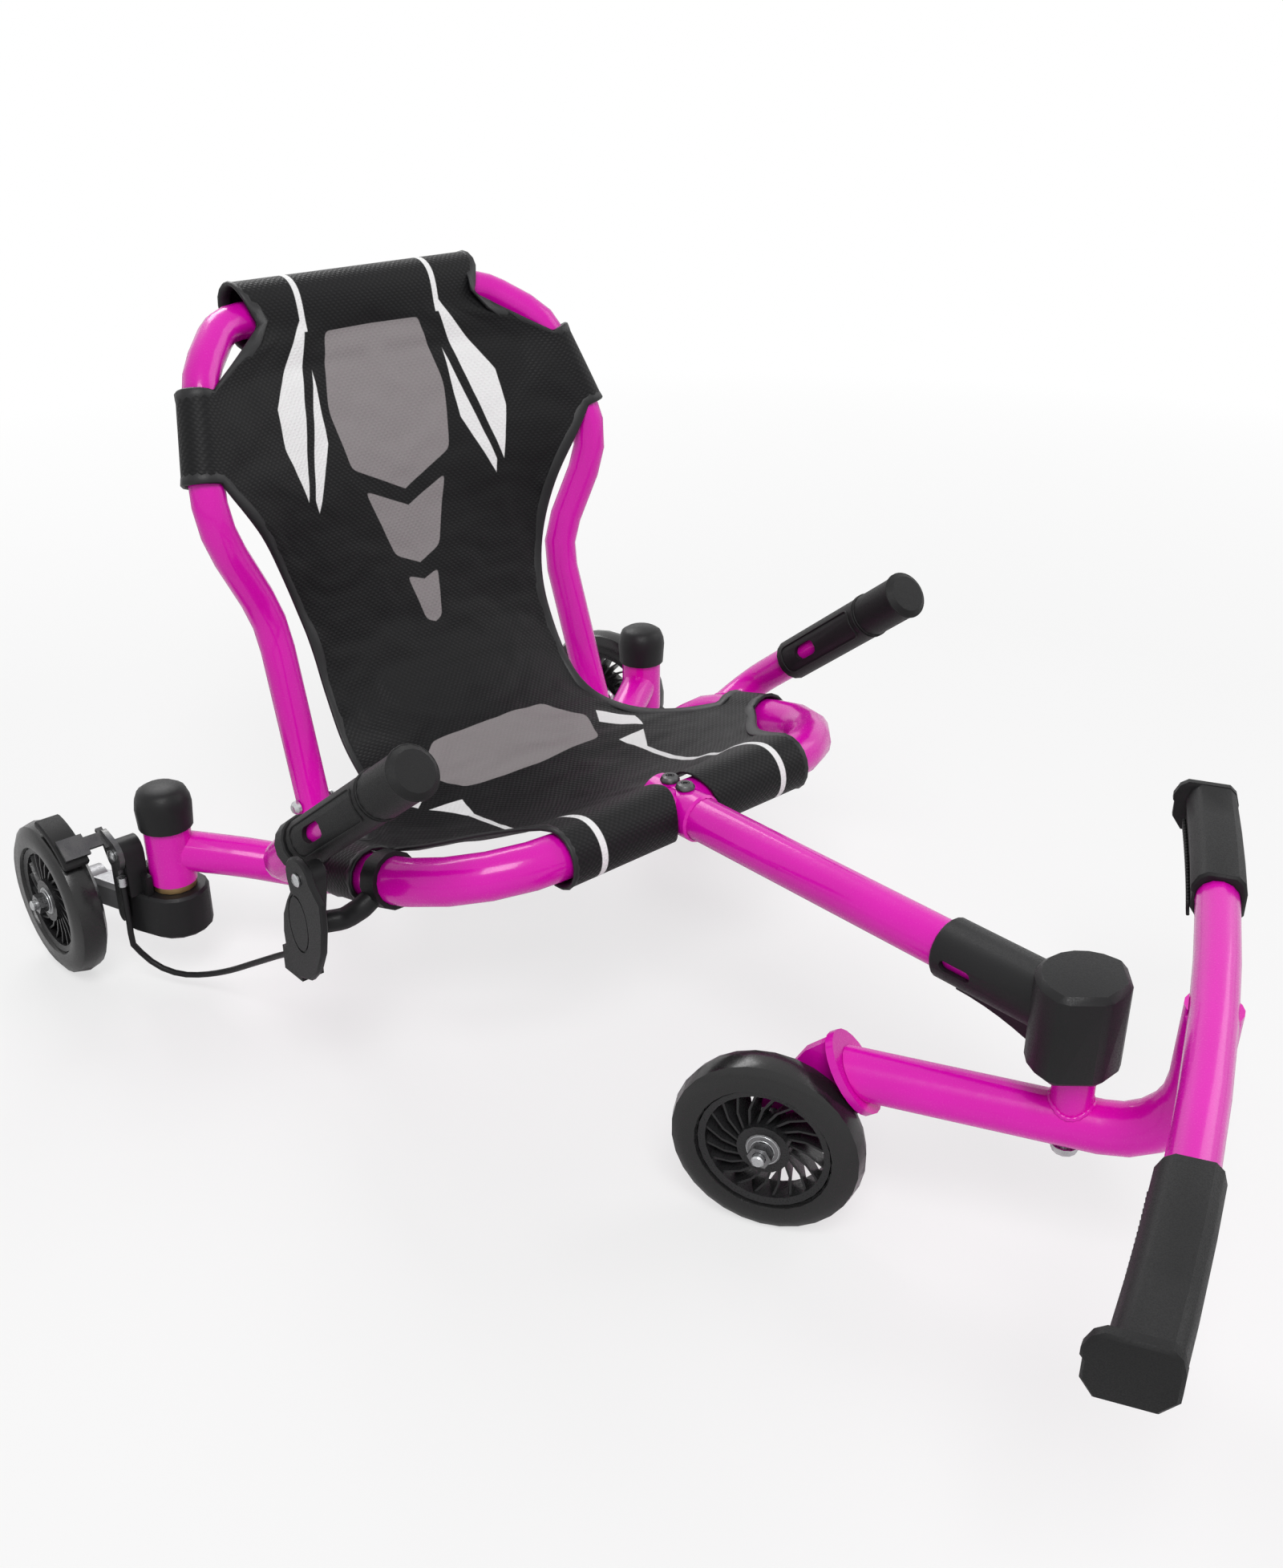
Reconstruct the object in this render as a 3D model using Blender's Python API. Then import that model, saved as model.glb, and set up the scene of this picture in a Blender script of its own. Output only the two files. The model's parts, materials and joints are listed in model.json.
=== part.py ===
# Sit-down scooter: a sling seat on a bent-tube frame, a swinging front bar steered with the feet,
# and two trailing casters, the right one with a cable brake.
#
# The frame of the model: +X to the rider's left, -Y forward, +Z up, all in metres. The ground is Z = 0.
# The front bar is shown swung to the rider's left, as it stands in the photograph.

import math

import bmesh
import bpy
from mathutils import Matrix, Quaternion, Vector

# Clearances
GAP = 0.0003
RUNNING_GAP = 0.0005

# Wheels
WHEEL_RADIUS = 0.060
TYRE_WIDTH = 0.0245
RIM_RADIUS = 0.041
RIM_WALL = 0.0042
RIM_WIDTH = 0.019
HUB_RADIUS = 0.0165
HUB_WIDTH = 0.023
BLADES = 20
BLADE_THICKNESS = 0.0017
BLADE_WIDTH = 0.014
BLADE_SWEEP = math.radians(26)
BLADE_TWIST = math.radians(8)
BEARING_RADIUS = 0.011
BEARING_WIDTH = 0.007
AXLE_DIAMETER = 0.008
NUT_FLATS = 0.013
NUT_HEIGHT = 0.0065
AXLE_HEAD_HEIGHT = 0.005
AXLE_OVERHANG = 0.004

# Main frame
FRAME_TUBE = 0.0318
FRAME_FRONT_Y = -0.073
FRAME_FRONT_Z = 0.178
SIDE_X = 0.183
SIDE_REAR_Y = 0.090
SIDE_SLOPE = 0.2525
SOCKET_Z = 0.074
FRONT_CORNER_RADIUS = 0.088
REAR_CORNER_RADIUS = 0.050
SOCKET_RADIUS = 0.0245
SPIGOT_DIAMETER = 0.0205
SPIGOT_LENGTH = 0.050

# Backrest
BACK_TUBE = 0.0254
BACK_FOOT = (0.1367, 0.1694, 0.1095)
BACK_LEAN = 0.32
BACK_TOE = -0.03
WAIST_Z = 0.262
TOP_X = 0.112
TOP_Y = 0.281
TOP_Z = 0.459
EAR_LOW = (0.1735, 0.2130, 0.3450)
EAR_HIGH = (0.1490, 0.2500, 0.4330)
BACK_BEND_RADIUS = 0.070
SHOULDER_RADIUS = 0.050
TOP_RADIUS = 0.034
BACK_BOLT_Z = 0.131
BACK_BOLT_DIAMETER = 0.006

# Handles
HANDLE_TUBE = 0.0254
HANDLE_START_Y = 0.076
HANDLE_BEND = Vector((0.2255, 0.0900, 0.1455))
HANDLE_BEND_RADIUS = 0.030
GRIP_END = Vector((0.2130, -0.0841, 0.2806))
GRIP_LENGTH = 0.1475
GRIP_DIAMETER = 0.0325
GRIP_TIP = 0.005
GRIP_SLOT_FROM_END = 0.111
GRIP_SLOT_LENGTH = 0.025
GRIP_SLOT_WIDTH = 0.011

# Outriggers with the head tubes
CASTER_X = 0.231
CASTER_Y = 0.2243
HEAD_DIAMETER = 0.034
HEAD_WALL = 0.004
HEAD_BOTTOM_Z = WHEEL_RADIUS + 0.022
HEAD_TOP_Z = HEAD_BOTTOM_Z + 0.068
STAY_TUBE = 0.0300
STAY_OUTER_Z = HEAD_BOTTOM_Z + 0.025
STAY_INNER = Vector((0.1385, 0.158, 0.080))
STAY_BOW = 0.006
STAY_RADIUS = 0.150
CAP_DIAMETER = 0.0407
CAP_BOTTOM_Z = HEAD_TOP_Z - 0.023
CAP_TOP_Z = HEAD_TOP_Z + 0.009
KINGPIN_DIAMETER = 0.012
KINGPIN_HEAD = 0.020
KINGPIN_TOP_Z = HEAD_TOP_Z + 0.005

# Casters
TRAIL = 0.0684
OUTBOARD = 0.0614
LEFT_SWIVEL = math.radians(22)
BOOT_RADIUS = 0.0242
BOOT_BOTTOM_Z = WHEEL_RADIUS - 0.017
BOOT_TOP_Z = HEAD_BOTTOM_Z - 0.0055
LIP_TOP_Z = HEAD_BOTTOM_Z + 0.010
LIP_WALL = 0.005
ARM_HEIGHT = 0.022
ARM_CENTRE = 0.035
ARM_WIDTH = 0.019
ARM_ROOT_RADIUS = 0.019
ARM_TIP_RADIUS = 0.0085
ARM_TIP_BEYOND = 0.0012
ARM_BOSS_RADIUS = 0.014
SPOTFACE_DEPTH = 0.0005
SPOTFACE_MARGIN = 0.0020
AXLE_BOSS_RADIUS = 0.0065

# Front beam
BEAM_TUBE = 0.0300
SADDLE_TUBE = 0.0336
SADDLE_REAR_Y = -0.050
SADDLE_FRONT_Y = -0.0975
BEAM_FRONT_Y = -0.358
SCREW_Y = (-0.0645, -0.0795)
SCREW_DIAMETER = 0.006
SCREW_HEAD = 0.0135

# Elbow housing
PIVOT_Y = -0.396
ELBOW_SLEEVE = 0.038
ELBOW_SLEEVE_Y = -0.303
ELBOW_TOP_Z = 0.204
ELBOW_BOTTOM_Z = 0.146
ELBOW_HALF_WIDTH = 0.029
ELBOW_FRONT_Y = -0.417
ELBOW_NOSE_HALF_WIDTH = 0.011
POST_DIAMETER = 0.024
POST_TOP_Z = 0.1957
PIVOT_BOLT_DIAMETER = 0.010
PIVOT_BOLT_GRIP = 0.035
PIVOT_BUSH_HEIGHT = 0.014
PIVOT_BUSH_WALL = 0.004

# Swing bar, in its own frame turned by SWING_YAW about the pivot; N runs forward from the pivot
SWING_YAW = math.radians(28)
SWING_TUBE = 0.031
SWING_Z = 0.108
SWING_RISE_N = 0.062
SWING_BEND_RADIUS = 0.045
FOOT_TUBE = 0.0254
FOOT_BAR_N = 0.064
FOOT_BAR_Z = 0.200
FOOT_BAR_HALF = 0.2490
FOOT_BAR_SHIFT = -0.0175
FOOT_BAR_SAG = 0.014
PEG_START = 0.130
PEG_WIDTH = 0.0315
PEG_HEIGHT = 0.0335
PEG_FLANGE = 0.006
PEG_FLANGE_REACH = 0.0075
FRONT_WHEEL_N = -0.168
FRONT_WHEEL_L = -0.019
FORK_THICKNESS = 0.006
FORK_BOSS_RADIUS = 0.017
FLANGE_N = -0.1232
FLANGE_TILT = math.radians(33)
FLANGE_HEIGHT = 0.056
FLANGE_WIDTH = 0.040
FLANGE_THICKNESS = 0.005

# Brake
LEVER_X = 0.2475
LEVER_THICKNESS = 0.005
LEVER_PIVOT_Y = 0.004
LEVER_PIVOT_Z = 0.184
LEVER_HEAD_RADIUS = 0.0145
LEVER_PIN_DIAMETER = 0.005
COLLAR_LENGTH = 0.013
COLLAR_DIAMETER = 0.0365
BRACKET_THICKNESS = 0.012
BRACKET_BAND_WALL = 0.0035
BRACKET_BAND_Y = (-0.002, 0.0115)
CABLE_DIAMETER = 0.0045
CABLE_ROUTE = [
    (-0.2260, 0.0400, 0.1040),
    (-0.2201, 0.0825, 0.0800),
    (-0.2221, 0.1263, 0.0520),
    (-0.2270, 0.1610, 0.0300),
    (-0.2348, 0.1878, 0.0165),
    (-0.2451, 0.2060, 0.0125),
    (-0.2550, 0.2210, 0.0165),
    (-0.2625, 0.2300, 0.0270),
]
ANCHOR_DIAMETER = 0.007
BRAKE_PIVOT_Y = 0.240
BRAKE_PIVOT_Z = BOOT_TOP_Z + 0.0315
ANCHOR_BOTTOM_Z = BRAKE_PIVOT_Z - 0.021
ANCHOR_TOP_Z = BRAKE_PIVOT_Z - 0.014
BRAKE_HEAD_RADIUS = 0.012
BRAKE_STRAP_BOTTOM_Z = WHEEL_RADIUS - 0.007
BRAKE_STRAP_WIDTH = 0.011
BRAKE_ARM_THICKNESS = 0.004
BRAKE_PIN_DIAMETER = 0.005
LUG_INNER = 0.0175
LUG_OUTER = 0.0325
SHOE_START = math.radians(44)
SHOE_END = math.radians(88)
SHOE_CLEARANCE = 0.003
SHOE_THICKNESS = 0.0055
SHOE_WIDTH = 0.019
BRIDGE_START = math.radians(48)
BRIDGE_END = math.radians(62)
BRIDGE_THICKNESS = 0.003

# Seat cover
FABRIC = 0.0024
SLEEVE_EASE = 0.0012
COVER_ARCH_EASE = 0.0050
FRONT_SLEEVE_HALF = 0.106
TOP_SLEEVE_HALF = 0.080
SIDE_SLEEVE_Y = (0.018, 0.060)
EAR_SLEEVE_Z = (0.366, 0.428)
COVER_ROWS = [
    (0.2700, 0.4560, 0.080, 0.000, 0.000),
    (0.2685, 0.4490, 0.087, 0.004, 0.000),
    (0.2665, 0.4400, 0.102, 0.014, -0.002),
    (0.2630, 0.4290, 0.146, 0.029, 0.000),
    (0.2520, 0.4000, 0.156, 0.030, 0.000),
    (0.2390, 0.3660, 0.166, 0.031, 0.000),
    (0.2325, 0.3386, 0.140, 0.022, 0.000),
    (0.2255, 0.3040, 0.124, 0.010, 0.000),
    (0.2165, 0.2640, 0.112, 0.002, 0.000),
    (0.2060, 0.2330, 0.1065, -0.001, 0.000),
    (0.1930, 0.2060, 0.107, -0.004, -0.004),
    (0.1690, 0.1820, 0.109, -0.008, -0.011),
    (0.1400, 0.1675, 0.111, -0.009, -0.014),
    (0.1050, 0.1590, 0.124, -0.003, -0.008),
    (0.0840, 0.1550, 0.148, 0.000, -0.001),
    (0.0680, 0.1520, 0.158, 0.000, 0.0033),
    (0.0420, 0.1505, 0.170, 0.000, 0.0113),
    (0.0170, 0.1526, 0.168, 0.000, 0.0160),
    (-0.0060, 0.1590, 0.145, 0.000, 0.014),
    (-0.0280, 0.1710, 0.124, 0.000, 0.009),
    (-0.0480, 0.1855, 0.108, 0.000, 0.004),
    (-0.0639, 0.1939, FRONT_SLEEVE_HALF, 0.000, 0.000),
]

PINK = ("pink_paint", (0.83, 0.02, 0.42), 0.25, 0.0)
BLACK = ("black_plastic", (0.02, 0.02, 0.02), 0.55, 0.0)
RUBBER = ("tyre_rubber", (0.06, 0.06, 0.06), 0.45, 0.0)
STEEL = ("zinc_steel", (0.60, 0.60, 0.60), 0.30, 1.0)
DARK_STEEL = ("black_steel", (0.10, 0.10, 0.10), 0.40, 0.8)
GREY_METAL = ("grey_casting", (0.35, 0.35, 0.36), 0.45, 0.6)
CLOTH = ("woven_cloth", (0.03, 0.03, 0.03), 0.85, 0.0)
BRONZE = ("oiled_bronze", (0.45, 0.30, 0.14), 0.45, 0.9)


# Scene helpers


def clear_scene():
    for obj in list(bpy.data.objects):
        bpy.data.objects.remove(obj, do_unlink=True)


def material_for(finish):
    name, colour, roughness, metallic = finish
    found = bpy.data.materials.get(name)
    if found is None:
        found = bpy.data.materials.new(name)
        found.use_nodes = True
        shader = found.node_tree.nodes["Principled BSDF"]
        shader.inputs["Base Color"].default_value = (*colour, 1.0)
        shader.inputs["Roughness"].default_value = roughness
        shader.inputs["Metallic"].default_value = metallic
        found.diffuse_color = (*colour, 1.0)
    return found


def add_empty(name, location, yaw=0.0, parent=None):
    empty = bpy.data.objects.new(name, None)
    empty.empty_display_size = 0.03
    empty.location = location
    empty.rotation_euler = (0.0, 0.0, yaw)
    empty.parent = parent
    bpy.context.scene.collection.objects.link(empty)
    return empty


def add_object(name, bm, finish, parent=None, location=(0.0, 0.0, 0.0)):
    bmesh.ops.recalc_face_normals(bm, faces=bm.faces)
    if bm.calc_volume(signed=True) < 0:
        bmesh.ops.reverse_faces(bm, faces=bm.faces)
    mesh = bpy.data.meshes.new(name)
    bm.to_mesh(mesh)
    bm.free()
    mesh.shade_smooth()
    mesh.set_sharp_from_angle(angle=math.radians(35))
    mesh.materials.append(material_for(finish))
    obj = bpy.data.objects.new(name, mesh)
    obj.location = location
    obj.parent = parent
    bpy.context.scene.collection.objects.link(obj)
    return obj


def add_helper(name, bm, parent=None, location=(0.0, 0.0, 0.0)):
    helper = add_object(name, bm, BLACK, parent, location)
    helper.hide_render = True
    helper.display_type = "WIRE"
    return helper


def combine(obj, other, operation):
    modifier = obj.modifiers.new(other.name, "BOOLEAN")
    modifier.operation = operation
    modifier.solver = "EXACT"
    modifier.object = other


def cut(obj, *cutters):
    for cutter in cutters:
        combine(obj, cutter, "DIFFERENCE")


def weld(obj, *others):
    for other in others:
        combine(obj, other, "UNION")


def round_edges(obj, width, segments=2, angle=40):
    modifier = obj.modifiers.new("rounding", "BEVEL")
    modifier.width = width
    modifier.segments = segments
    modifier.limit_method = "ANGLE"
    modifier.angle_limit = math.radians(angle)


# Shape helpers


def bridge(bm, first, second):
    if len(first) == 1 and len(second) == 1:
        return
    count = max(len(first), len(second))
    for i in range(count):
        j = (i + 1) % count
        corners = [first[i % len(first)], first[j % len(first)]]
        corners += [second[j % len(second)], second[i % len(second)]]
        bm.faces.new(list(dict.fromkeys(corners)))


def lathe(profile, segments=24, matrix=None):
    """Turns (radius, height) points about Z. A profile that starts off the axis is a closed ring."""
    bm = bmesh.new()
    rings = []
    for radius, height in profile:
        if radius == 0:
            rings.append([bm.verts.new((0.0, 0.0, height))])
            continue
        angles = [math.tau * i / segments for i in range(segments)]
        rings.append([bm.verts.new((radius * math.cos(a), radius * math.sin(a), height)) for a in angles])
    for first, second in zip(rings, rings[1:]):
        bridge(bm, first, second)
    if profile[0][0] != 0:
        bridge(bm, rings[-1], rings[0])
    if matrix is not None:
        bm.transform(matrix)
    return bm


def rod(start, end, radius, sides=18):
    start = Vector(start)
    end = Vector(end)
    along = end - start
    turn = along.to_track_quat("Z", "Y").to_matrix().to_4x4()
    profile = [(0, 0), (radius, 0), (radius, along.length), (0, along.length)]
    return lathe(profile, sides, Matrix.Translation(start) @ turn)


def turned_between(start, end, profile, sides=24):
    """A turned piece whose height axis runs from start towards end."""
    start = Vector(start)
    turn = (Vector(end) - start).to_track_quat("Z", "Y").to_matrix().to_4x4()
    return lathe(profile, sides, Matrix.Translation(start) @ turn)


def ring_between(start, end, inner, outer, sides=24):
    length = (Vector(end) - Vector(start)).length
    return turned_between(start, end, [(inner, 0), (outer, 0), (outer, length), (inner, length)], sides)


def prism(outline, low, high, matrix=None):
    """Extrudes an outline in XY from low to high along Z."""
    bm = bmesh.new()
    bottom = [bm.verts.new((x, y, low)) for x, y in outline]
    face = bm.faces.new(bottom)
    grown = bmesh.ops.extrude_face_region(bm, geom=[face])
    moved = [item for item in grown["geom"] if isinstance(item, bmesh.types.BMVert)]
    bmesh.ops.translate(bm, verts=moved, vec=(0.0, 0.0, high - low))
    if matrix is not None:
        bm.transform(matrix)
    return bm


def box(low, high):
    outline = [(low[0], low[1]), (high[0], low[1]), (high[0], high[1]), (low[0], high[1])]
    return prism(outline, low[2], high[2])


def side_prism(outline, near, far):
    """Extrudes an outline given in (Y, Z) along X."""
    bm = prism(outline, near, far)
    turn = Matrix(((0, 0, 1, 0), (1, 0, 0, 0), (0, 1, 0, 0), (0, 0, 0, 1)))
    bm.transform(turn)
    return bm


def arc_points(centre, radius, start, end, steps):
    angles = [start + (end - start) * i / steps for i in range(steps + 1)]
    return [(centre[0] + radius * math.cos(a), centre[1] + radius * math.sin(a)) for a in angles]


def bent_path(corners, radii, step=math.radians(20)):
    """The centre line of a bent tube: straight runs joined by arcs at the inner corners."""
    points = [corners[0].copy()]
    for before, corner, after, radius in zip(corners, corners[1:], corners[2:], radii):
        inward = (corner - before).normalized()
        outward = (after - corner).normalized()
        turn = inward.angle(outward)
        reach = radius * math.tan(turn / 2)
        start = corner - inward * reach
        axis = inward.cross(outward).normalized()
        centre = start + axis.cross(inward).normalized() * radius
        count = max(2, math.ceil(turn / step))
        for i in range(count + 1):
            swung = Quaternion(axis, turn * i / count) @ (start - centre)
            points.append(centre + swung)
    points.append(corners[-1].copy())
    return points


def sweep(points, radius, sides=16, steps_after=()):
    """A round bar along the points. steps_after adds (length, radius) shoulders past both ends."""
    bm = bmesh.new()
    stations = [(point, radius) for point in points]
    first_way = (points[0] - points[1]).normalized()
    last_way = (points[-1] - points[-2]).normalized()
    for length, smaller in steps_after:
        tail = stations[-1][0]
        stations += [(tail, smaller), (tail + last_way * length, smaller)]
        head = stations[0][0]
        stations = [(head + first_way * length, smaller), (head, smaller)] + stations
    places = [place for place, _ in stations]
    rings = []
    normal = None
    for i, (place, size) in enumerate(stations):
        before = next((p for p in reversed(places[:i]) if (p - place).length > 1e-7), place)
        after = next((p for p in places[i + 1 :] if (p - place).length > 1e-7), place)
        way = (after - before).normalized()
        if normal is None:
            normal = way.orthogonal()
        normal = (normal - way * normal.dot(way)).normalized()
        side = way.cross(normal)
        angles = [math.tau * k / sides for k in range(sides)]
        offsets = [(normal * math.cos(a) + side * math.sin(a)) * size for a in angles]
        rings.append([bm.verts.new(place + offset) for offset in offsets])
    for first, second in zip(rings, rings[1:]):
        bridge(bm, first, second)
    bm.faces.new(rings[0])
    bm.faces.new(rings[-1])
    return bm


def mirrored(point, side):
    return Vector((side * point[0], point[1], point[2]))


def hexagon(flats):
    radius = flats / math.sqrt(3)
    return [(radius * math.cos(math.pi * i / 3), radius * math.sin(math.pi * i / 3)) for i in range(6)]


# Places that several pieces share


def frame_height(y):
    """Height of the frame tube's centre line along the front bar and the sides."""
    return FRAME_FRONT_Z - SIDE_SLOPE * (y - FRAME_FRONT_Y)


def back_way():
    return Vector((BACK_TOE, BACK_LEAN, 1.0))


def back_line(z):
    """The backrest tube's centre line below the waist, on the rider's left."""
    return Vector(BACK_FOOT) + back_way() * (z - BACK_FOOT[2])


def frame_path():
    half = [
        Vector((SIDE_X, FRAME_FRONT_Y, frame_height(FRAME_FRONT_Y))),
        Vector((SIDE_X, SIDE_REAR_Y, frame_height(SIDE_REAR_Y))),
        back_line(SOCKET_Z),
        back_line(BACK_FOOT[2]) - back_way() * GAP,
    ]
    corners = [mirrored(point, -1) for point in reversed(half)] + half
    radii = [SOCKET_RADIUS, REAR_CORNER_RADIUS, FRONT_CORNER_RADIUS]
    return bent_path(corners, radii + radii[::-1])


def backrest_path():
    half = [
        Vector((TOP_X, TOP_Y, TOP_Z)),
        Vector(EAR_HIGH),
        Vector(EAR_LOW),
        back_line(WAIST_Z),
        Vector(BACK_FOOT),
    ]
    corners = [mirrored(point, -1) for point in reversed(half)] + half
    radii = [BACK_BEND_RADIUS, BACK_BEND_RADIUS, SHOULDER_RADIUS, TOP_RADIUS]
    return bent_path(corners, radii + radii[::-1])


def grip_way():
    return (GRIP_END - HANDLE_BEND).normalized()


def grip_point(from_end):
    """A point of the handle's centre line, measured back from the grip's far end."""
    return GRIP_END - grip_way() * from_end


def handle_path(side):
    corners = [
        Vector((SIDE_X, HANDLE_START_Y, frame_height(HANDLE_START_Y))),
        HANDLE_BEND,
        grip_point(GRIP_TIP),
    ]
    return bent_path([mirrored(point, side) for point in corners], [HANDLE_BEND_RADIUS])


def swing_point(forward, left, z):
    """A point of the swing bar's own frame, whose origin is the pivot on the ground."""
    return Vector((left, -forward, z))


def foot_bar_forward(left):
    return FOOT_BAR_N - FOOT_BAR_SAG * (left / FOOT_BAR_HALF) ** 2


def foot_bar_path(reach, steps=8):
    lefts = [-reach + 2 * reach * i / steps for i in range(steps + 1)]
    return [swing_point(foot_bar_forward(left), left + FOOT_BAR_SHIFT, FOOT_BAR_Z) for left in lefts]


# Main frame


def make_frame(root):
    frame = add_object(
        "seat_frame",
        sweep(frame_path(), FRAME_TUBE / 2, 16, [(SPIGOT_LENGTH, SPIGOT_DIAMETER / 2)]),
        PINK,
        root,
    )
    frame_cope = add_helper("frame_cope", sweep(frame_path(), FRAME_TUBE / 2 + GAP, 16), root)
    back = add_object("backrest_tube", sweep(backrest_path(), BACK_TUBE / 2, 12), PINK, root)
    for side, label in ((1, "left"), (-1, "right")):
        foot = mirrored(back_line(BACK_FOOT[2]), side)
        way = mirrored(back_way().normalized(), side)
        bore = rod(foot - way * 0.005, foot + way * (SPIGOT_LENGTH + 0.002), SPIGOT_DIAMETER / 2 + GAP, 16)
        cut(back, add_helper(f"{label}_backrest_bore", bore, root))
        make_backrest_bolt(root, frame, back, side, label)
        make_outrigger(root, frame_cope, side, label)
        make_handle(root, frame_cope, side, label)
        make_grip(root, side, label)
        make_cap(root, side, label)
    return frame


def make_backrest_bolt(root, frame, back, side, label):
    centre = mirrored(back_line(BACK_BOLT_Z), side)
    outward = Vector((side, 0.0, 0.0))
    hole = rod(centre - outward * 0.03, centre + outward * 0.03, BACK_BOLT_DIAMETER / 2 + GAP, 10)
    drill = add_helper(f"{label}_backrest_drill", hole, root)
    cut(frame, drill)
    cut(back, drill)
    seat = BACK_TUBE / 2 + GAP
    shank = BACK_BOLT_DIAMETER / 2
    head = shank * 1.8
    profile = [
        (0, -seat - head * 0.9),
        (head * 0.55, -seat - head * 0.8),
        (head, -seat - head * 0.35),
        (head, -seat),
        (shank, -seat),
        (shank, seat),
        (head, seat),
        (head, seat + head * 0.45),
        (head * 0.6, seat + head * 0.9),
        (0, seat + head),
    ]
    bolt = turned_between(centre, centre + outward, profile, 10)
    add_object(f"{label}_backrest_bolt", bolt, STEEL, root)


def make_outrigger(root, frame_cope, side, label):
    axis = Vector((side * CASTER_X, CASTER_Y, 0.0))
    outer = HEAD_DIAMETER / 2
    head = rod(axis + Vector((0, 0, HEAD_BOTTOM_Z)), axis + Vector((0, 0, HEAD_TOP_Z)), outer, 20)
    outrigger = add_object(f"{label}_outrigger", head, PINK, root)
    start = axis + Vector((0, 0, STAY_OUTER_Z))
    end = mirrored(STAY_INNER, side)
    middle = (start + end) / 2 + Vector((0, STAY_BOW, 0))
    stay = sweep(bent_path([start, middle, end], [STAY_RADIUS], math.radians(25)), STAY_TUBE / 2, 14)
    weld(outrigger, add_helper(f"{label}_stay", stay, root))
    bore = rod(
        axis + Vector((0, 0, HEAD_BOTTOM_Z - 0.01)),
        axis + Vector((0, 0, HEAD_TOP_Z + 0.01)),
        outer - HEAD_WALL,
        18,
    )
    cut(outrigger, frame_cope, add_helper(f"{label}_head_bore", bore, root))


def make_handle(root, frame_cope, side, label):
    handle = add_object(
        f"{label}_handle_tube", sweep(handle_path(side), HANDLE_TUBE / 2, 14), PINK, root
    )
    cut(handle, frame_cope)


def make_grip(root, side, label):
    start = mirrored(grip_point(GRIP_LENGTH), side)
    end = mirrored(GRIP_END, side)
    length = GRIP_LENGTH
    outer = GRIP_DIAMETER / 2
    inner = HANDLE_TUBE / 2 + GAP
    profile = [
        (inner, 0),
        (outer - 0.0012, 0),
        (outer, 0.0015),
        (outer, length - 0.009),
        (outer + 0.0006, length - 0.003),
        (outer - 0.0030, length),
        (0, length),
        (0, length - GRIP_TIP + GAP),
        (inner, length - GRIP_TIP + GAP),
    ]
    grip = add_object(f"{label}_grip", grip_body(start, end, profile), BLACK, root)
    way = (end - start).normalized()
    centre = end - way * GRIP_SLOT_FROM_END
    across = Vector((1.0, 0.0, 0.0))
    across = (across - way * across.dot(way)).normalized()
    upright = way.cross(across)
    half = (GRIP_SLOT_LENGTH - GRIP_SLOT_WIDTH) / 2
    radius = GRIP_SLOT_WIDTH / 2
    outline = arc_points((half, 0), radius, -math.pi / 2, math.pi / 2, 5)
    outline += arc_points((-half, 0), radius, math.pi / 2, 3 * math.pi / 2, 5)
    frame = Matrix((way, upright, across)).transposed().to_4x4()
    frame.translation = centre
    slot = prism(outline, -GRIP_DIAMETER, GRIP_DIAMETER, frame)
    cut(grip, add_helper(f"{label}_grip_slot", slot, root))


def grip_body(start, end, profile, sides=16):
    """A cup turned along the handle, open at its start."""
    turn = (end - start).to_track_quat("Z", "Y").to_matrix().to_4x4()
    place = Matrix.Translation(start) @ turn
    bm = bmesh.new()
    rings = []
    for radius, height in profile:
        if radius == 0:
            rings.append([bm.verts.new((0.0, 0.0, height))])
            continue
        angles = [math.tau * i / sides for i in range(sides)]
        rings.append([bm.verts.new((radius * math.cos(a), radius * math.sin(a), height)) for a in angles])
    for first, second in zip(rings, rings[1:] + rings[:1]):
        bridge(bm, first, second)
    bm.transform(place)
    return bm


def make_cap(root, side, label):
    outer = CAP_DIAMETER / 2
    inner = HEAD_DIAMETER / 2 + GAP
    profile = [
        (inner, CAP_BOTTOM_Z),
        (outer - 0.0008, CAP_BOTTOM_Z),
        (outer + 0.0002, (CAP_BOTTOM_Z + CAP_TOP_Z) / 2),
        (outer - 0.0006, CAP_TOP_Z - 0.010),
        (outer - 0.0030, CAP_TOP_Z - 0.004),
        (outer - 0.0075, CAP_TOP_Z - 0.0012),
        (0, CAP_TOP_Z),
        (0, KINGPIN_TOP_Z + GAP),
        (KINGPIN_HEAD / 2 + GAP, KINGPIN_TOP_Z + GAP),
        (inner, HEAD_TOP_Z + 2 * GAP),
    ]
    axis = Vector((side * CASTER_X, CASTER_Y, 0.0))
    body = grip_body(axis, axis + Vector((0, 0, 1)), profile, 20)
    add_object(f"{label}_head_cap", body, BLACK, root)


# Front beam and elbow


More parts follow.
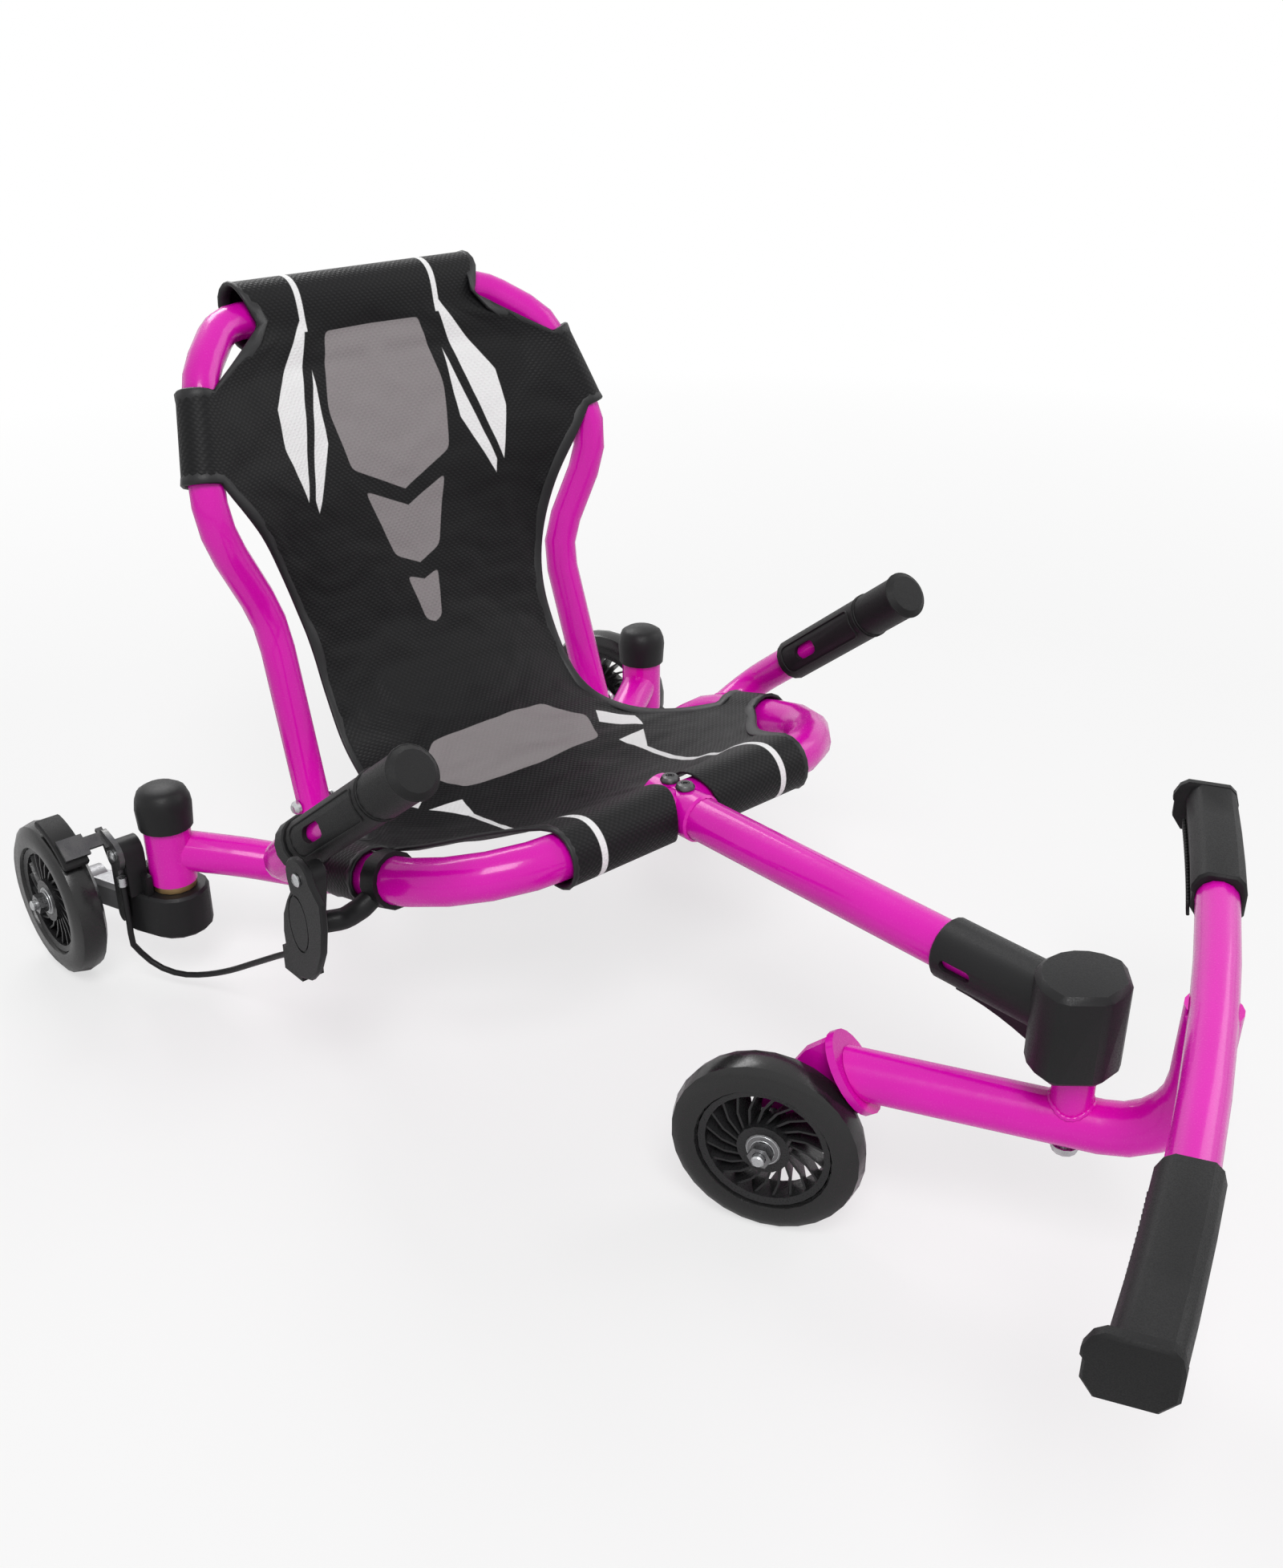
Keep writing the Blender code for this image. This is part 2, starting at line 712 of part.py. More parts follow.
def make_front(root):
    centre = Vector((0.0, FRAME_FRONT_Y, FRAME_FRONT_Z))
    outer = SADDLE_TUBE / 2
    back = Vector((0.0, SADDLE_REAR_Y, FRAME_FRONT_Z))
    front = Vector((0.0, SADDLE_FRONT_Y, FRAME_FRONT_Z))
    length = (front - back).length
    profile = [
        (0, 0),
        (outer - 0.002, 0),
        (outer, 0.002),
        (outer, length - 0.002),
        (outer - 0.002, length),
        (0, length),
    ]
    saddle = add_object("beam_saddle", turned_between(back, front, profile), PINK, root)
    across = Vector((SIDE_X / 2, 0.0, 0.0))
    cross_bore = rod(centre - across, centre + across, FRAME_TUBE / 2 + GAP, 18)
    beam_bore = rod(centre, front + Vector((0.0, -0.02, 0.0)), BEAM_TUBE / 2 + GAP, 18)
    cross = add_helper("saddle_cross_bore", cross_bore, root)
    cut(saddle, cross, add_helper("saddle_beam_bore", beam_bore, root))
    beam_end = Vector((0.0, BEAM_FRONT_Y, FRAME_FRONT_Z))
    beam = add_object("front_beam", rod(centre, beam_end, BEAM_TUBE / 2, 18), PINK, root)
    cut(beam, cross)
    frame = bpy.data.objects["seat_frame"]
    for place, label in zip(SCREW_Y, ("rear", "front")):
        top = FRAME_FRONT_Z + outer + GAP
        tip = FRAME_FRONT_Z + 0.005
        shank = SCREW_DIAMETER / 2
        head = SCREW_HEAD / 2
        screw = lathe(
            [
                (0, tip),
                (shank, tip),
                (shank, top),
                (head, top),
                (head, top + 0.001),
                (head * 0.8, top + 0.003),
                (head * 0.45, top + 0.0036),
                (head * 0.36, top + 0.0018),
                (0, top + 0.0018),
            ],
            10,
        )
        add_object(f"beam_screw_{label}", screw, STEEL, root, (0.0, place, 0.0))
        drill = rod((0, place, tip - GAP), (0, place, top + 0.01), shank + GAP, 10)
        hole = add_helper(f"beam_screw_drill_{label}", drill, root)
        cut(saddle, hole)
        cut(frame, hole)
        cut(beam, hole)
    make_elbow(root)


def make_elbow(root):
    outline = arc_points((0.0, PIVOT_Y), ELBOW_HALF_WIDTH, 0.0, math.pi, 10)
    outline += [
        (-ELBOW_HALF_WIDTH, PIVOT_Y - 0.004),
        (-ELBOW_NOSE_HALF_WIDTH, ELBOW_FRONT_Y),
        (ELBOW_NOSE_HALF_WIDTH, ELBOW_FRONT_Y),
        (ELBOW_HALF_WIDTH, PIVOT_Y - 0.004),
    ]
    elbow = add_object("elbow_housing", prism(outline, ELBOW_BOTTOM_Z, ELBOW_TOP_Z), BLACK, root)
    round_edges(elbow, 0.0035, 1, 40)
    sleeve_start = Vector((0.0, ELBOW_SLEEVE_Y, FRAME_FRONT_Z))
    sleeve_end = Vector((0.0, PIVOT_Y + 0.006, FRAME_FRONT_Z))
    length = (sleeve_end - sleeve_start).length
    outer = ELBOW_SLEEVE / 2
    sleeve = turned_between(
        sleeve_start, sleeve_end, [(0, 0), (outer - 0.0015, 0), (outer, 0.0015), (outer, length), (0, length)]
    )
    top = FRAME_FRONT_Z - outer + 0.006
    gusset_start = ELBOW_SLEEVE_Y - 0.014
    gusset = [(gusset_start, top), (gusset_start, FRAME_FRONT_Z - outer)]
    reach = gusset_start - (PIVOT_Y + ELBOW_HALF_WIDTH)
    drop = FRAME_FRONT_Z - outer - ELBOW_BOTTOM_Z - 0.005
    for i in range(1, 6):
        share = i / 5
        gusset.append((gusset_start - reach * share, FRAME_FRONT_Z - outer - drop * share**2))
    gusset += [(PIVOT_Y + 0.012, ELBOW_BOTTOM_Z + 0.005), (PIVOT_Y + 0.012, top)]
    weld(
        elbow,
        add_helper("elbow_sleeve", sleeve, root),
        add_helper("elbow_gusset", side_prism(gusset, -0.008, 0.008), root),
    )
    beam_bore = rod(
        sleeve_start + Vector((0, 0.01, 0)),
        (0.0, BEAM_FRONT_Y - GAP, FRAME_FRONT_Z),
        BEAM_TUBE / 2 + GAP,
        18,
    )
    bore_radius = POST_DIAMETER / 2 + RUNNING_GAP + PIVOT_BUSH_WALL + GAP
    post_bore = rod(
        (0, PIVOT_Y, ELBOW_BOTTOM_Z - 0.01), (0, PIVOT_Y, POST_TOP_Z + GAP), bore_radius, 18
    )
    slot_outline = slot_shape(ELBOW_SLEEVE_Y - 0.008, ELBOW_SLEEVE_Y - 0.030, FRAME_FRONT_Z, 0.0032)
    cut(
        elbow,
        add_helper("elbow_beam_bore", beam_bore, root),
        add_helper("elbow_post_bore", post_bore, root),
        add_helper("elbow_slots", side_prism(slot_outline, -outer - 0.01, outer + 0.01), root),
    )
    inner = POST_DIAMETER / 2 + RUNNING_GAP
    for low, label in ((ELBOW_BOTTOM_Z, "lower"), (POST_TOP_Z - 0.002 - PIVOT_BUSH_HEIGHT, "upper")):
        bush = ring_between(
            (0, PIVOT_Y, low), (0, PIVOT_Y, low + PIVOT_BUSH_HEIGHT), inner, bore_radius - GAP, 18
        )
        add_object(f"{label}_pivot_bush", bush, BRONZE, root)


def slot_shape(start, end, height, half):
    """A round-ended slot in (Y, Z)."""
    low, high = sorted((start, end))
    outline = arc_points((high - half, height), half, -math.pi / 2, math.pi / 2, 5)
    outline += arc_points((low + half, height), half, math.pi / 2, 3 * math.pi / 2, 5)
    return outline


# Swing bar


def make_swing_bar(swing):
    corners = [
        swing_point(FLANGE_N - 0.025, 0.0, SWING_Z),
        swing_point(SWING_RISE_N, 0.0, SWING_Z),
        swing_point(FOOT_BAR_N, 0.0, FOOT_BAR_Z),
    ]
    radius = SWING_TUBE / 2
    bar = add_object("swing_bar", sweep(bent_path(corners, [SWING_BEND_RADIUS]), radius, 18), PINK, swing)
    foot_cope = add_helper(
        "foot_bar_cope", sweep(foot_bar_path(FOOT_BAR_HALF + GAP), FOOT_TUBE / 2 + GAP, 14), swing
    )
    room = FLANGE_HEIGHT
    behind = box((-room, -room, -room * 1.5), (room, room, FLANGE_THICKNESS / 2 + GAP))
    behind.transform(flange_matrix())
    cut(bar, foot_cope, add_helper("swing_bar_trim", behind, swing))
    post_rod = rod((0, 0, SWING_Z), (0, 0, POST_TOP_Z), POST_DIAMETER / 2, 18)
    post = add_object("pivot_post", post_rod, PINK, swing)
    bar_cope = rod((0, -POST_DIAMETER, SWING_Z), (0, POST_DIAMETER, SWING_Z), radius + GAP, 18)
    bolt_top = SWING_Z + radius + PIVOT_BOLT_GRIP
    bolt_hole = PIVOT_BOLT_DIAMETER / 2 + GAP
    drill = rod((0, 0, SWING_Z - SWING_TUBE), (0, 0, bolt_top + GAP), bolt_hole, 14)
    hole = add_helper("pivot_bolt_drill", drill, swing)
    cut(post, add_helper("post_cope", bar_cope, swing), hole)
    cut(bar, hole)
    seat = SWING_Z - radius - GAP
    shank = PIVOT_BOLT_DIAMETER / 2
    head = shank * 1.7
    bolt = lathe(
        [
            (0, seat - 0.004),
            (head * 0.4, seat - 0.004),
            (head * 0.5, seat - 0.0062),
            (head * 0.85, seat - 0.005),
            (head, seat - 0.002),
            (head, seat),
            (shank, seat),
            (shank, bolt_top),
            (0, bolt_top),
        ],
        12,
    )
    add_object("pivot_bolt", bolt, STEEL, swing)
    add_object("foot_bar", sweep(foot_bar_path(FOOT_BAR_HALF), FOOT_TUBE / 2, 14), PINK, swing)
    for side, label in ((1, "left"), (-1, "right")):
        make_peg(swing, foot_cope, side, label)
    make_front_fork(swing)


def flange_matrix():
    """Local Z points forward and up out of the flange, local Y up and back along it."""
    sine = math.sin(FLANGE_TILT)
    cosine = math.cos(FLANGE_TILT)
    turn = Matrix(((1, 0, 0), (0, sine, -cosine), (0, cosine, sine))).to_4x4()
    turn.translation = swing_point(FLANGE_N, 0.0, SWING_Z)
    return turn


def peg_section(left, grow, rearward):
    """The foot peg's rounded box outline about the foot bar."""
    half = PEG_WIDTH / 2 + grow
    tall = PEG_HEIGHT / 2 + grow
    shape = [
        (-half * 0.55, -tall),
        (half * 0.55, -tall),
        (half, -tall * 0.5),
        (half, tall * 0.35),
        (half * 0.86, tall * 0.78),
        (half * 0.6, tall),
        (-half * 0.5, tall),
        (-half * 0.8, tall * 0.8),
        (-half, tall * 0.4),
        (-half, 0.003),
        (-half + 0.0012, 0.0015),
        (-half + 0.0012, -tall * 0.5),
    ]
    centre = foot_bar_forward(left)
    points = []
    for forward, up in shape:
        shift = forward - rearward if forward < 0 else forward
        points.append(swing_point(centre + shift, left + FOOT_BAR_SHIFT, FOOT_BAR_Z + up))
    return points


def make_peg(swing, foot_cope, side, label):
    end = FOOT_BAR_HALF + 0.0025
    stations = [(PEG_START, -0.0015, 0.0), (PEG_START + 0.0015, 0.0, 0.0)]
    flange = end - PEG_FLANGE
    steps = 3
    for i in range(1, steps + 1):
        stations.append((PEG_START + 0.0015 + (flange - PEG_START - 0.0015) * i / steps, 0.0, 0.0))
    stations += [
        (flange, 0.0005, PEG_FLANGE_REACH),
        (end - 0.0015, 0.0005, PEG_FLANGE_REACH),
        (end, -0.001, PEG_FLANGE_REACH),
    ]
    bm = bmesh.new()
    rings = []
    for left, grow, rearward in stations:
        rings.append([bm.verts.new(point) for point in peg_section(side * left, grow, rearward)])
    for first, second in zip(rings, rings[1:]):
        bridge(bm, first, second)
    bm.faces.new(rings[0])
    bm.faces.new(rings[-1])
    peg = add_object(f"{label}_foot_peg", bm, BLACK, swing)
    cut(peg, foot_cope)


def make_front_fork(swing):
    oval = []
    for i in range(24):
        angle = math.tau * i / 24
        oval.append((FLANGE_WIDTH / 2 * math.cos(angle), FLANGE_HEIGHT / 2 * math.sin(angle)))
    half = FLANGE_THICKNESS / 2
    fork = add_object("front_fork", prism(oval, -half, half, flange_matrix()), PINK, swing)
    hub = (-FRONT_WHEEL_N, WHEEL_RADIUS)
    boss = FORK_BOSS_RADIUS
    flange_y = -FLANGE_N
    along = (math.sin(FLANGE_TILT), math.cos(FLANGE_TILT))
    top = (flange_y + along[0] * 0.026, SWING_Z + along[1] * 0.026)
    bottom = (flange_y - along[0] * 0.0235, SWING_Z - along[1] * 0.0235)
    outline = [top, (top[0] + 0.015, top[1] - 0.012)]
    outline += arc_points(hub, boss, math.radians(20), math.radians(-118), 9)
    outline.append(bottom)
    plate = side_prism(outline, -FORK_THICKNESS / 2, FORK_THICKNESS / 2)
    weld(fork, add_helper("fork_plate", plate, swing))
    wheel_face = FRONT_WHEEL_L + HUB_WIDTH / 2 + RUNNING_GAP
    stub = rod((wheel_face, hub[0], hub[1]), (0.0, hub[0], hub[1]), AXLE_BOSS_RADIUS, 14)
    weld(fork, add_helper("fork_axle_boss", stub, swing))
    drill = rod((-0.05, hub[0], hub[1]), (0.05, hub[0], hub[1]), AXLE_DIAMETER / 2 + GAP, 12)
    cut(fork, add_helper("fork_axle_drill", drill, swing))
    centre = Vector((FRONT_WHEEL_L, hub[0], hub[1]))
    make_wheel("front", swing, centre)
    make_axle("front", swing, centre, -1, FORK_THICKNESS / 2 - FRONT_WHEEL_L)


# Wheels


def along_x(bm):
    bm.transform(Matrix.Rotation(math.pi / 2, 4, "Y"))
    return bm


def blade_layer(bm, angle, height):
    """One layer of a blade: a thin curved strip from the hub ring to the rim."""
    inner = HUB_RADIUS - 0.0015
    outer = RIM_RADIUS - RIM_WALL + 0.0015
    steps = 2
    one_side = []
    other_side = []
    for i in range(steps + 1):
        share = i / steps
        radius = inner + (outer - inner) * share
        turn = angle + BLADE_SWEEP * (share - 0.5) * (1.3 - 0.3 * share)
        half = BLADE_THICKNESS / 2 / radius
        for line, edge in ((one_side, turn + half), (other_side, turn - half)):
            point = (radius * math.cos(edge), radius * math.sin(edge), height)
            line.append(bm.verts.new(point))
    return one_side + other_side[::-1]


def blades_mesh():
    bm = bmesh.new()
    for i in range(BLADES):
        angle = math.tau * i / BLADES
        low = blade_layer(bm, angle - BLADE_TWIST / 2, -BLADE_WIDTH / 2)
        high = blade_layer(bm, angle + BLADE_TWIST / 2, BLADE_WIDTH / 2)
        bridge(bm, low, high)
        bm.faces.new(low)
        bm.faces.new(high)
    return along_x(bm)


def make_wheel(label, parent, centre):
    """A wheel about its own X axis: tyre, bladed hub and the bearings in it."""
    axis = add_empty(f"{label}_wheel_axis", centre, 0.0, parent)
    half = TYRE_WIDTH / 2
    outer = WHEEL_RADIUS
    seat = RIM_RADIUS + GAP
    side = [
        (seat, RIM_WIDTH / 2),
        (seat + 0.0012, half - 0.0005),
        (outer * 0.86, half),
        (outer * 0.965, half * 0.70),
    ]
    profile = [(radius, -height) for radius, height in side] + [(outer, 0.0)]
    profile += [(radius, height) for radius, height in reversed(side)]
    add_object(f"{label}_tyre", along_x(lathe(profile, 30)), RUBBER, axis)
    rim_half = RIM_WIDTH / 2
    lip = 0.0012
    rim = [
        (RIM_RADIUS - RIM_WALL, -rim_half + lip),
        (RIM_RADIUS, -rim_half),
        (RIM_RADIUS, rim_half),
        (RIM_RADIUS - RIM_WALL, rim_half - lip),
    ]
    hub = add_object(f"{label}_hub", along_x(lathe(rim, 28)), BLACK, axis)
    bearing = BEARING_RADIUS + GAP
    hub_half = HUB_WIDTH / 2 - 0.0015
    core = [
        (bearing, -hub_half),
        (HUB_RADIUS, -hub_half),
        (HUB_RADIUS, hub_half),
        (bearing, hub_half),
    ]
    weld(
        hub,
        add_helper(f"{label}_hub_core", along_x(lathe(core, 16)), axis),
        add_helper(f"{label}_blades", blades_mesh(), axis),
    )
    face = HUB_WIDTH / 2
    bore = AXLE_DIAMETER / 2 + GAP
    spacer = bore + 0.0015
    bearing_profile = [
        (bore, -face),
        (BEARING_RADIUS * 0.62, -face),
        (BEARING_RADIUS, -face + 0.0015),
        (BEARING_RADIUS, -face + 0.0015 + BEARING_WIDTH),
        (spacer, -face + 0.0015 + BEARING_WIDTH),
    ]
    bearing_profile += [(radius, -height) for radius, height in reversed(bearing_profile)]
    add_object(f"{label}_bearing", along_x(lathe(bearing_profile, 16)), STEEL, axis)
    return axis


def make_axle(label, parent, centre, outboard, inner_face):
    """A bolt through the wheel, its head against the arm and its nut on the outer face."""
    out = Vector((outboard, 0.0, 0.0))
    nut_start = HUB_WIDTH / 2 + GAP
    nut_end = nut_start + NUT_HEIGHT
    shank = AXLE_DIAMETER / 2
    head = NUT_FLATS / 2
    start = -inner_face - GAP
    tip = nut_end + AXLE_OVERHANG
    profile = [
        (0, start - AXLE_HEAD_HEIGHT),
        (head * 0.7, start - AXLE_HEAD_HEIGHT),
        (head, start - AXLE_HEAD_HEIGHT * 0.6),
        (head, start),
        (shank, start),
        (shank, tip - 0.0008),
        (shank - 0.0008, tip),
        (0, tip),
    ]
    origin = Vector(centre)
    add_object(f"{label}_axle", turned_between(origin, origin + out, profile, 12), STEEL, parent)
    turn = out.to_track_quat("Z", "Y").to_matrix().to_4x4()
    nut_body = prism(hexagon(NUT_FLATS), nut_start, nut_end, Matrix.Translation(origin) @ turn)
    nut = add_object(f"{label}_axle_nut", nut_body, STEEL, parent)
    bore = rod(origin + out * (nut_start - 0.005), origin + out * (nut_end + 0.01), shank + GAP, 12)
    cut(nut, add_helper(f"{label}_nut_bore", bore, parent))


# Casters


def hull_outline(circles, steps=16):
    """The convex outline round some circles (x, y, radius)."""
    points = []
    for x, y, radius in circles:
        for i in range(steps):
            angle = math.tau * i / steps
            points.append((x + radius * math.cos(angle), y + radius * math.sin(angle)))
    points.sort()
    lower = []
    for point in points:
        while len(lower) > 1 and turn_of(lower[-2], lower[-1], point) <= 1e-12:
            lower.pop()
        lower.append(point)
    upper = []
    for point in reversed(points):
        while len(upper) > 1 and turn_of(upper[-2], upper[-1], point) <= 1e-12:
            upper.pop()
        upper.append(point)
    return lower[:-1] + upper[:-1]


def hull_block(circles, low, high, edge):
    """An upright block with the outline of the circles' hull and its long edges chamfered."""
    bm = bmesh.new()
    rings = []
    for height, inset in ((low, edge), (low + edge, 0.0), (high - edge, 0.0), (high, edge)):
        shrunk = [(x, y, radius - inset) for x, y, radius in circles]
        rings.append([bm.verts.new((x, y, height)) for x, y in hull_outline(shrunk)])
    for first, second in zip(rings, rings[1:]):
        bridge(bm, first, second)
    bm.faces.new(rings[0])
    bm.faces.new(rings[-1])
    return bm


def turn_of(a, b, c):
    return (b[0] - a[0]) * (c[1] - a[1]) - (b[1] - a[1]) * (c[0] - a[0])


def make_caster(root, side, label):
    yaw = LEFT_SWIVEL if side > 0 else 0.0
    swivel = add_empty(f"{label}_caster_swivel", (side * CASTER_X, CASTER_Y, 0.0), yaw, root)
    low = WHEEL_RADIUS - ARM_HEIGHT / 2
    high = WHEEL_RADIUS + ARM_HEIGHT / 2
    arm_circles = [(0.0, 0.0, ARM_ROOT_RADIUS), (side * ARM_CENTRE, TRAIL + ARM_TIP_BEYOND, ARM_TIP_RADIUS)]
    arm = add_object(f"{label}_caster_arm", hull_block(arm_circles, low, high, 0.003), GREY_METAL, swivel)
    hub = Vector((side * OUTBOARD, TRAIL, WHEEL_RADIUS))
    inner = Vector((side * (ARM_CENTRE - ARM_WIDTH / 2), TRAIL, WHEEL_RADIUS))
    face = hub - Vector((side * (HUB_WIDTH / 2 + RUNNING_GAP), 0, 0))
    reach = (face - inner).length
    boss = [
        (0, 0),
        (ARM_BOSS_RADIUS, 0),
        (ARM_BOSS_RADIUS, ARM_WIDTH),
        (AXLE_BOSS_RADIUS, ARM_WIDTH),
        (AXLE_BOSS_RADIUS, reach),
        (0, reach),
    ]
    weld(arm, add_helper(f"{label}_axle_boss", turned_between(inner, face, boss, 18), swivel))
    clear = 0.03
    spotface = clear + SPOTFACE_DEPTH
    bore = [
        (0, 0),
        (NUT_FLATS / 2 + SPOTFACE_MARGIN, 0),
        (NUT_FLATS / 2 + SPOTFACE_MARGIN, spotface),
        (AXLE_DIAMETER / 2 + GAP, spotface),
        (AXLE_DIAMETER / 2 + GAP, OUTBOARD + clear),
        (0, OUTBOARD + clear),
    ]
    axle_drill = turned_between(inner - Vector((side * clear, 0, 0)), face, bore, 14)
    pin = KINGPIN_DIAMETER / 2
    pin_drill = rod((0, 0, low - 0.01), (0, 0, BOOT_TOP_Z + 0.01), pin + GAP, 12)
    pin_hole = add_helper(f"{label}_kingpin_drill", pin_drill, swivel)
    cut(arm, add_helper(f"{label}_axle_drill", axle_drill, swivel), pin_hole)
    make_boot(swivel, side, label, pin_hole)
    bottom = low + 0.0005
    top = KINGPIN_TOP_Z
    head = KINGPIN_HEAD / 2
    head_seat = HEAD_TOP_Z + GAP
    kingpin = [
        (0, bottom),
        (pin - 0.001, bottom),
        (pin, bottom + 0.001),
        (pin, head_seat),
        (head, head_seat),
        (head, top - 0.0012),
        (head - 0.0012, top),
        (0, top),
    ]
    add_object(f"{label}_kingpin", lathe(kingpin, 12), STEEL, swivel)
    make_kingpin_bush(root, side, label)
    make_wheel(label, swivel, hub)
    make_axle(label, swivel, hub, side, OUTBOARD - (ARM_CENTRE - ARM_WIDTH / 2) - SPOTFACE_DEPTH)
    return swivel


def make_kingpin_bush(root, side, label):
    bore = KINGPIN_DIAMETER / 2 + RUNNING_GAP
    outer = HEAD_DIAMETER / 2 - HEAD_WALL - GAP
    flange = HEAD_DIAMETER / 2 - 0.001
    flange_top = HEAD_BOTTOM_Z - GAP
    profile = [
        (bore, BOOT_TOP_Z + RUNNING_GAP),
        (flange, BOOT_TOP_Z + RUNNING_GAP),
        (flange, flange_top),
        (outer, flange_top),
        (outer, HEAD_TOP_Z),
        (bore, HEAD_TOP_Z),
    ]
    place = (side * CASTER_X, CASTER_Y, 0.0)
    add_object(f"{label}_kingpin_bush", lathe(profile, 14), BRONZE, root, place)


def make_boot(swivel, side, label, pin_hole):
    circles = [(0.0, 0.0, BOOT_RADIUS), (side * 0.014, 0.018, 0.0185)]
    block = hull_block(circles, BOOT_BOTTOM_Z, BOOT_TOP_Z, 0.002)
    boot = add_object(f"{label}_caster_boot", block, BLACK, swivel)
    start, end = sorted((math.radians(90 - side * 10), math.radians(90 - side * 100)))
    inner = HEAD_DIAMETER / 2 + 0.0015
    lip = arc_points((0, 0), inner + LIP_WALL, start, end, 5)
    lip += arc_points((0, 0), inner, end, start, 5)
    weld(boot, add_helper(f"{label}_boot_lip", prism(lip, BOOT_TOP_Z - 0.003, LIP_TOP_Z), swivel))
    grow = GAP
    cavity_circles = [
        (0.0, 0.0, ARM_ROOT_RADIUS + grow),
        (side * ARM_CENTRE, TRAIL + ARM_TIP_BEYOND, ARM_TIP_RADIUS + grow),
    ]
    cavity = prism(
        hull_outline(cavity_circles),
        WHEEL_RADIUS - ARM_HEIGHT / 2 - grow,
        WHEEL_RADIUS + ARM_HEIGHT / 2 + grow,
    )
    if side < 0:
        pivot = (BRAKE_PIVOT_Y - CASTER_Y, BRAKE_PIVOT_Z)
        foot = (pivot[0], BOOT_TOP_Z - 0.001)
        wide = BRAKE_HEAD_RADIUS
        lug_outline = arc_points(pivot, wide - 0.001, 0.0, math.pi, 8)
        lug_outline += [(pivot[0] - wide + 0.001, foot[1]), (pivot[0] + wide - 0.001, foot[1])]
        lug = side_prism(lug_outline, -LUG_OUTER, -LUG_INNER)
        weld(boot, add_helper("brake_lug", lug, swivel))
        drill = rod((-0.08, *pivot), (0.0, *pivot), BRAKE_PIN_DIAMETER / 2 + GAP, 10)
        cut(boot, add_helper("brake_pin_drill", drill, swivel))
    cut(boot, add_helper(f"{label}_boot_cavity", cavity, swivel), pin_hole)


# Brake


def make_brake(root, swivel):
    make_brake_arm(swivel)
    make_lever(root)
    make_cable(root)


def wheel_arc(inner, outer, start, end, steps):
    """A ring sector about the right wheel's centre in (Y, Z), with angles from straight forward."""
    centre = (TRAIL, WHEEL_RADIUS)
    outline = arc_points(centre, outer, math.pi - start, math.pi - end, steps)
    return outline + arc_points(centre, inner, math.pi - end, math.pi - start, steps)


